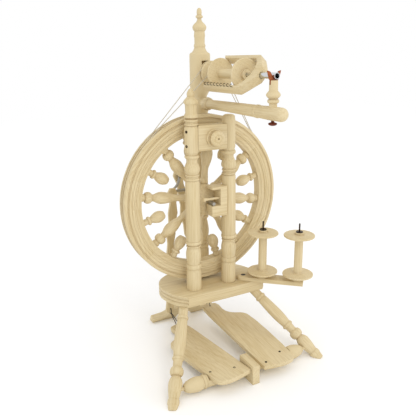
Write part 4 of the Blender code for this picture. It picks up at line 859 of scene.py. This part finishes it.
def make_shaft():
    low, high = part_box("flyer_shaft")
    mouth = FLYER.y - low.y
    step_at = mouth - 84 * MM
    rear = FLYER.y - high.y
    profile = [(0, mouth - 40 * MM), (5.4 * MM, mouth - 40 * MM), (5.4 * MM, mouth - 0.4 * MM)]
    profile += [(5.8 * MM, mouth), (6.6 * MM, mouth), (7 * MM, mouth - 0.4 * MM)]
    profile += [(7 * MM, step_at), (4 * MM, step_at), (4 * MM, rear + 0.5 * MM)]
    profile += [(3.5 * MM, rear), (0, rear)]
    obj = lathe("chromed_tube", profile)
    put(obj, FLYER_AXIS)
    return stands_for(obj, "flyer_shaft")


def make_whorl():
    half = 7.5 * MM
    profile = [(4.3 * MM, half), (29 * MM, half), (31 * MM, half - 2 * MM)]
    profile += [(31 * MM, 4 * MM), (25 * MM, 1.6 * MM), (25 * MM, -1.6 * MM)]
    profile += [(31 * MM, -4 * MM), (31 * MM, -half + 2 * MM), (29 * MM, -half)]
    profile += [(4.3 * MM, -half), (4.3 * MM, half)]
    place = FLYER_AXIS @ Matrix.Translation((0, 0, 6 * MM))
    return turned("turned_whorl", "flyer_whorl", profile, place)


def bobbin_profile(edge):
    length = 138 * MM
    high = length - 6.6 * MM
    low = 14 * MM
    flange = 5 * MM
    bore = 4.4 * MM
    core = 11.4 * MM
    profile = [(bore, length), (12 * MM, length), (12 * MM, high + 0.8 * MM)]
    profile += [(edge - 1.6 * MM, high + 0.2 * MM), (edge - 0.4 * MM, high - 0.9 * MM)]
    profile += [(edge, high - flange / 2), (edge - 0.4 * MM, high - flange + 0.9 * MM)]
    profile += [(edge - 1.6 * MM, high - flange), (core + 2 * MM, high - flange - 1 * MM)]
    profile += [(core, high - flange - 3 * MM), (core, low + flange + 3 * MM)]
    profile += [(core + 2 * MM, low + flange + 1 * MM), (edge - 1.6 * MM, low + flange)]
    profile += [(edge - 0.4 * MM, low + flange - 0.9 * MM), (edge, low + flange / 2)]
    profile += [(edge - 0.4 * MM, low + 0.9 * MM), (edge - 1.6 * MM, low)]
    profile += [(19 * MM, low - 1 * MM), (15.5 * MM, low / 2 + 1 * MM)]
    profile += [(15.5 * MM, low / 2 - 1 * MM), (19 * MM, 1.2 * MM), (18 * MM, 0), (bore, 0)]
    profile += [(bore, length)]
    return profile


def make_bobbins():
    spot = Vector(JOINTS["bobbin_turn"]["pos_m"])
    turn = Matrix.Rotation(math.pi / 2, 4, "X")
    turned("turned_flyer_bobbin", "flyer_bobbin", bobbin_profile(37.5 * MM),
           Matrix.Translation(spot) @ turn, 60)
    for number, joint in (("1", "rack_bobbin_one_turn"), ("2", "rack_bobbin_two_turn")):
        spot = Vector(JOINTS[joint]["pos_m"])
        turned("turned_rack_bobbin_" + number, "rack_bobbin_" + number,
               bobbin_profile(42 * MM), Matrix.Translation(spot), 60)


YOKE_TURN = FLYER_TURN @ Matrix.Rotation(-math.radians(48), 4, "Y")


def make_hook(name):
    """Cup hook of bent wire, screwed into an arm's edge."""
    fresh()
    wire = 0.75 * MM
    bpy.ops.mesh.primitive_torus_add(major_segments=20, minor_segments=8,
                                     major_radius=3 * MM, minor_radius=wire,
                                     location=(0, 0, 4.4 * MM), rotation=(math.pi / 2, 0, 0))
    obj = bpy.context.object
    obj.name = name
    bpy.ops.object.transform_apply()
    bpy.ops.object.mode_set(mode="EDIT")
    bpy.ops.mesh.select_all(action="DESELECT")
    bpy.ops.object.mode_set(mode="OBJECT")
    for vertex in obj.data.vertices:
        bearing = math.degrees(math.atan2(vertex.co.z - 4.4 * MM, vertex.co.x))
        vertex.select = -80 < bearing < -20
    bpy.ops.object.mode_set(mode="EDIT")
    bpy.ops.mesh.delete(type="VERT")
    bpy.ops.mesh.select_all(action="SELECT")
    bpy.ops.mesh.region_to_loop()
    bpy.ops.mesh.edge_face_add()
    bpy.ops.object.mode_set(mode="OBJECT")
    return obj


def make_hooks():
    """Nine hooks along one edge of each arm, on opposite sides of the flyer."""
    for arm in (-1, 1):
        for i in range(9):
            reach = (50 + 15.5 * i) * MM
            spot = Vector((arm * 44 * MM, -reach, -arm * 11 * MM))
            obj = make_hook(f"flyer_hook_{'a' if arm < 0 else 'b'}{i + 1}")
            flip = Matrix.Rotation(math.pi if arm > 0 else 0, 4, "Y")
            put(obj, YOKE_TURN @ Matrix.Translation(spot) @ flip)
            extra(obj, "flyer", "dark_steel")


# ---------------------------------------------------------------- treadle bars

def make_bar(side):
    word = "left" if side < 0 else "right"
    node = "treadle_bar_" + word
    low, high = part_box(node)
    middle = Vector((AXLE.x, HINGE.y, HINGE.z))
    pin_end = (high.x - middle.x) if side > 0 else (middle.x - low.x)
    reach = pin_end + 5 * MM
    inner = side * 5 * MM + 10.4 * MM
    profile = [(0, pin_end), (4.5 * MM, pin_end), (4.5 * MM, reach - 25 * MM)]
    profile += [(8.5 * MM, reach - 25 * MM), (12 * MM, reach - 31 * MM)]
    profile += belly(14 * MM, 18.4 * MM, 15.8 * MM, reach - 34 * MM, 40 * MM, 0.6)
    profile += bead(15.5 * MM, 2 * MM, reach - 75 * MM, 8 * MM)
    profile += [(16 * MM, reach - 85 * MM), (16 * MM, inner), (4.5 * MM, inner)]
    profile += [(4.5 * MM, inner - 8.5 * MM), (0, inner - 8.5 * MM)]
    name = "turned_bar_" + word
    obj = lathe(name, eased(profile))
    lay_grain(obj, shift=grain_shift(name))
    tilt = math.radians(-4.9 if side < 0 else 2.9)
    lean = Matrix.Translation(middle) @ Matrix.Rotation(tilt, 4, "X")
    put(obj, Matrix.Rotation(side * math.pi / 2, 4, "Y"))
    edge = 31 * MM if side > 0 else 8 * MM
    near, far = sorted((side * (inner - 0.1 * MM), side * (edge + 104 * MM)))
    cut(obj, block_tool((near, -0.04, 6.7 * MM), (far, 0.04, 0.06)))
    put(obj, lean)
    return stands_for(obj, node)


# ---------------------------------------------------------------- the rest of the wood

PLANED = (
    ("sawn_rear_foot", "rear_foot", 1.6, (1, 0, 0)),
    ("sawn_crossbar", "crossbar", 1.2, (1, 0, 0)),
    ("sawn_front_block", "front_bearing_block", 1.2, (1, 0, 0)),
    ("sawn_rear_block", "rear_bearing_block", 1.2, (1, 0, 0)),
    ("sawn_centre_foot", "centre_foot", 1.2, (0, 1, 0)),
    ("sawn_yoke", "flyer_yoke", 1.0, (0, 1, 0)),
    ("sawn_rack_arm", "rack_arm", 1.2, (0.743, -0.669, 0)),
    ("sawn_treadle_left", "treadle_left", 1.8, (-0.08, 0.99, 0)),
    ("sawn_treadle_right", "treadle_right", 1.8, (0, 1, 0)),
    ("sawn_footman_left", "footman_left", 1.2, (0, 0, 1)),
    ("sawn_footman_right", "footman_right", 1.2, (0, 0, 1)),
    ("cut_front_leather", "front_leather", 0.4, (0, 0, 1)),
    ("cut_rear_leather", "rear_bearing", 0.4, (0, 0, 1)),
)


def make_planed():
    for name, node, edge, along in PLANED:
        planed(name, node, edge * MM, along)


def finish_metal_and_cord():
    for node, obj in NODES.items():
        if obj.hide_render:
            continue
        obj.data.materials.clear()
        obj.data.materials.append(FINISH[SLOT_OF[node]])


# ---------------------------------------------------------------- floor and light

def make_stage():
    """White floor, a flat plane under the wheel."""
    fresh()
    bpy.ops.mesh.primitive_plane_add(size=12, location=(0, 0, -0.5 * MM))
    floor = bpy.context.object
    floor.name = "studio_floor"
    bpy.ops.object.transform_apply()
    material, tree, shader = new_material("studio_paper")
    place = step(tree, "ShaderNodeTexCoord").outputs["Object"]
    tooth = step(tree, "ShaderNodeTexNoise", {"Scale": 900.0}, {"Vector": place})
    bump = step(tree, "ShaderNodeBump", {"Strength": 0.02, "Distance": 0.0002},
                {"Height": tooth.outputs["Fac"]})
    tree.links.new(bump.outputs["Normal"], shader.inputs["Normal"])
    shader.inputs["Base Color"].default_value = linear("#FFFFFF")
    shader.inputs["Roughness"].default_value = 0.95
    shader.inputs["Specular IOR Level"].default_value = 0.0
    floor.data.materials.append(material)


def area_light(name, place, aim, size, watts, colour):
    light = bpy.data.objects.new(name, bpy.data.lights.new(name, "AREA"))
    light.data.shape = "RECTANGLE"
    light.data.size, light.data.size_y = size
    light.data.energy = watts
    light.data.color = linear(colour)[:3]
    bpy.context.scene.collection.objects.link(light)
    turn = (Vector(aim) - Vector(place)).to_track_quat("-Z", "Y")
    light.matrix_world = Matrix.Translation(place) @ turn.to_matrix().to_4x4()


def set_light():
    world = bpy.data.worlds.new("studio")
    bpy.context.scene.world = world
    world.use_nodes = True
    sky = world.node_tree.nodes["Background"]
    sky.inputs["Color"].default_value = linear("#FFFFFF")
    sky.inputs["Strength"].default_value = 1.0
    centre = (0, 0, 0.45)
    area_light("key", (-0.2, -2.3, 2.3), centre, (1.0, 1.0), 13, "#FFFBF2")
    area_light("fill", (2.3, -1.4, 1.5), centre, (1.2, 1.2), 5, "#FFFFFF")
    bpy.context.scene.view_settings.view_transform = "Standard"


def make_all():
    make_table()
    for side in (-1, 1):
        make_front_leg(side)
        make_bar(side)
    make_posts()
    make_screws()
    make_rim()
    make_hub()
    make_spokes()
    make_head()
    make_arm()
    make_maiden()
    make_lock_knob()
    make_crossbar_knob()
    make_peg()
    make_shaft()
    make_whorl()
    make_bobbins()
    make_hooks()
    make_planed()
    finish_metal_and_cord()


make_all()
make_stage()
set_light()
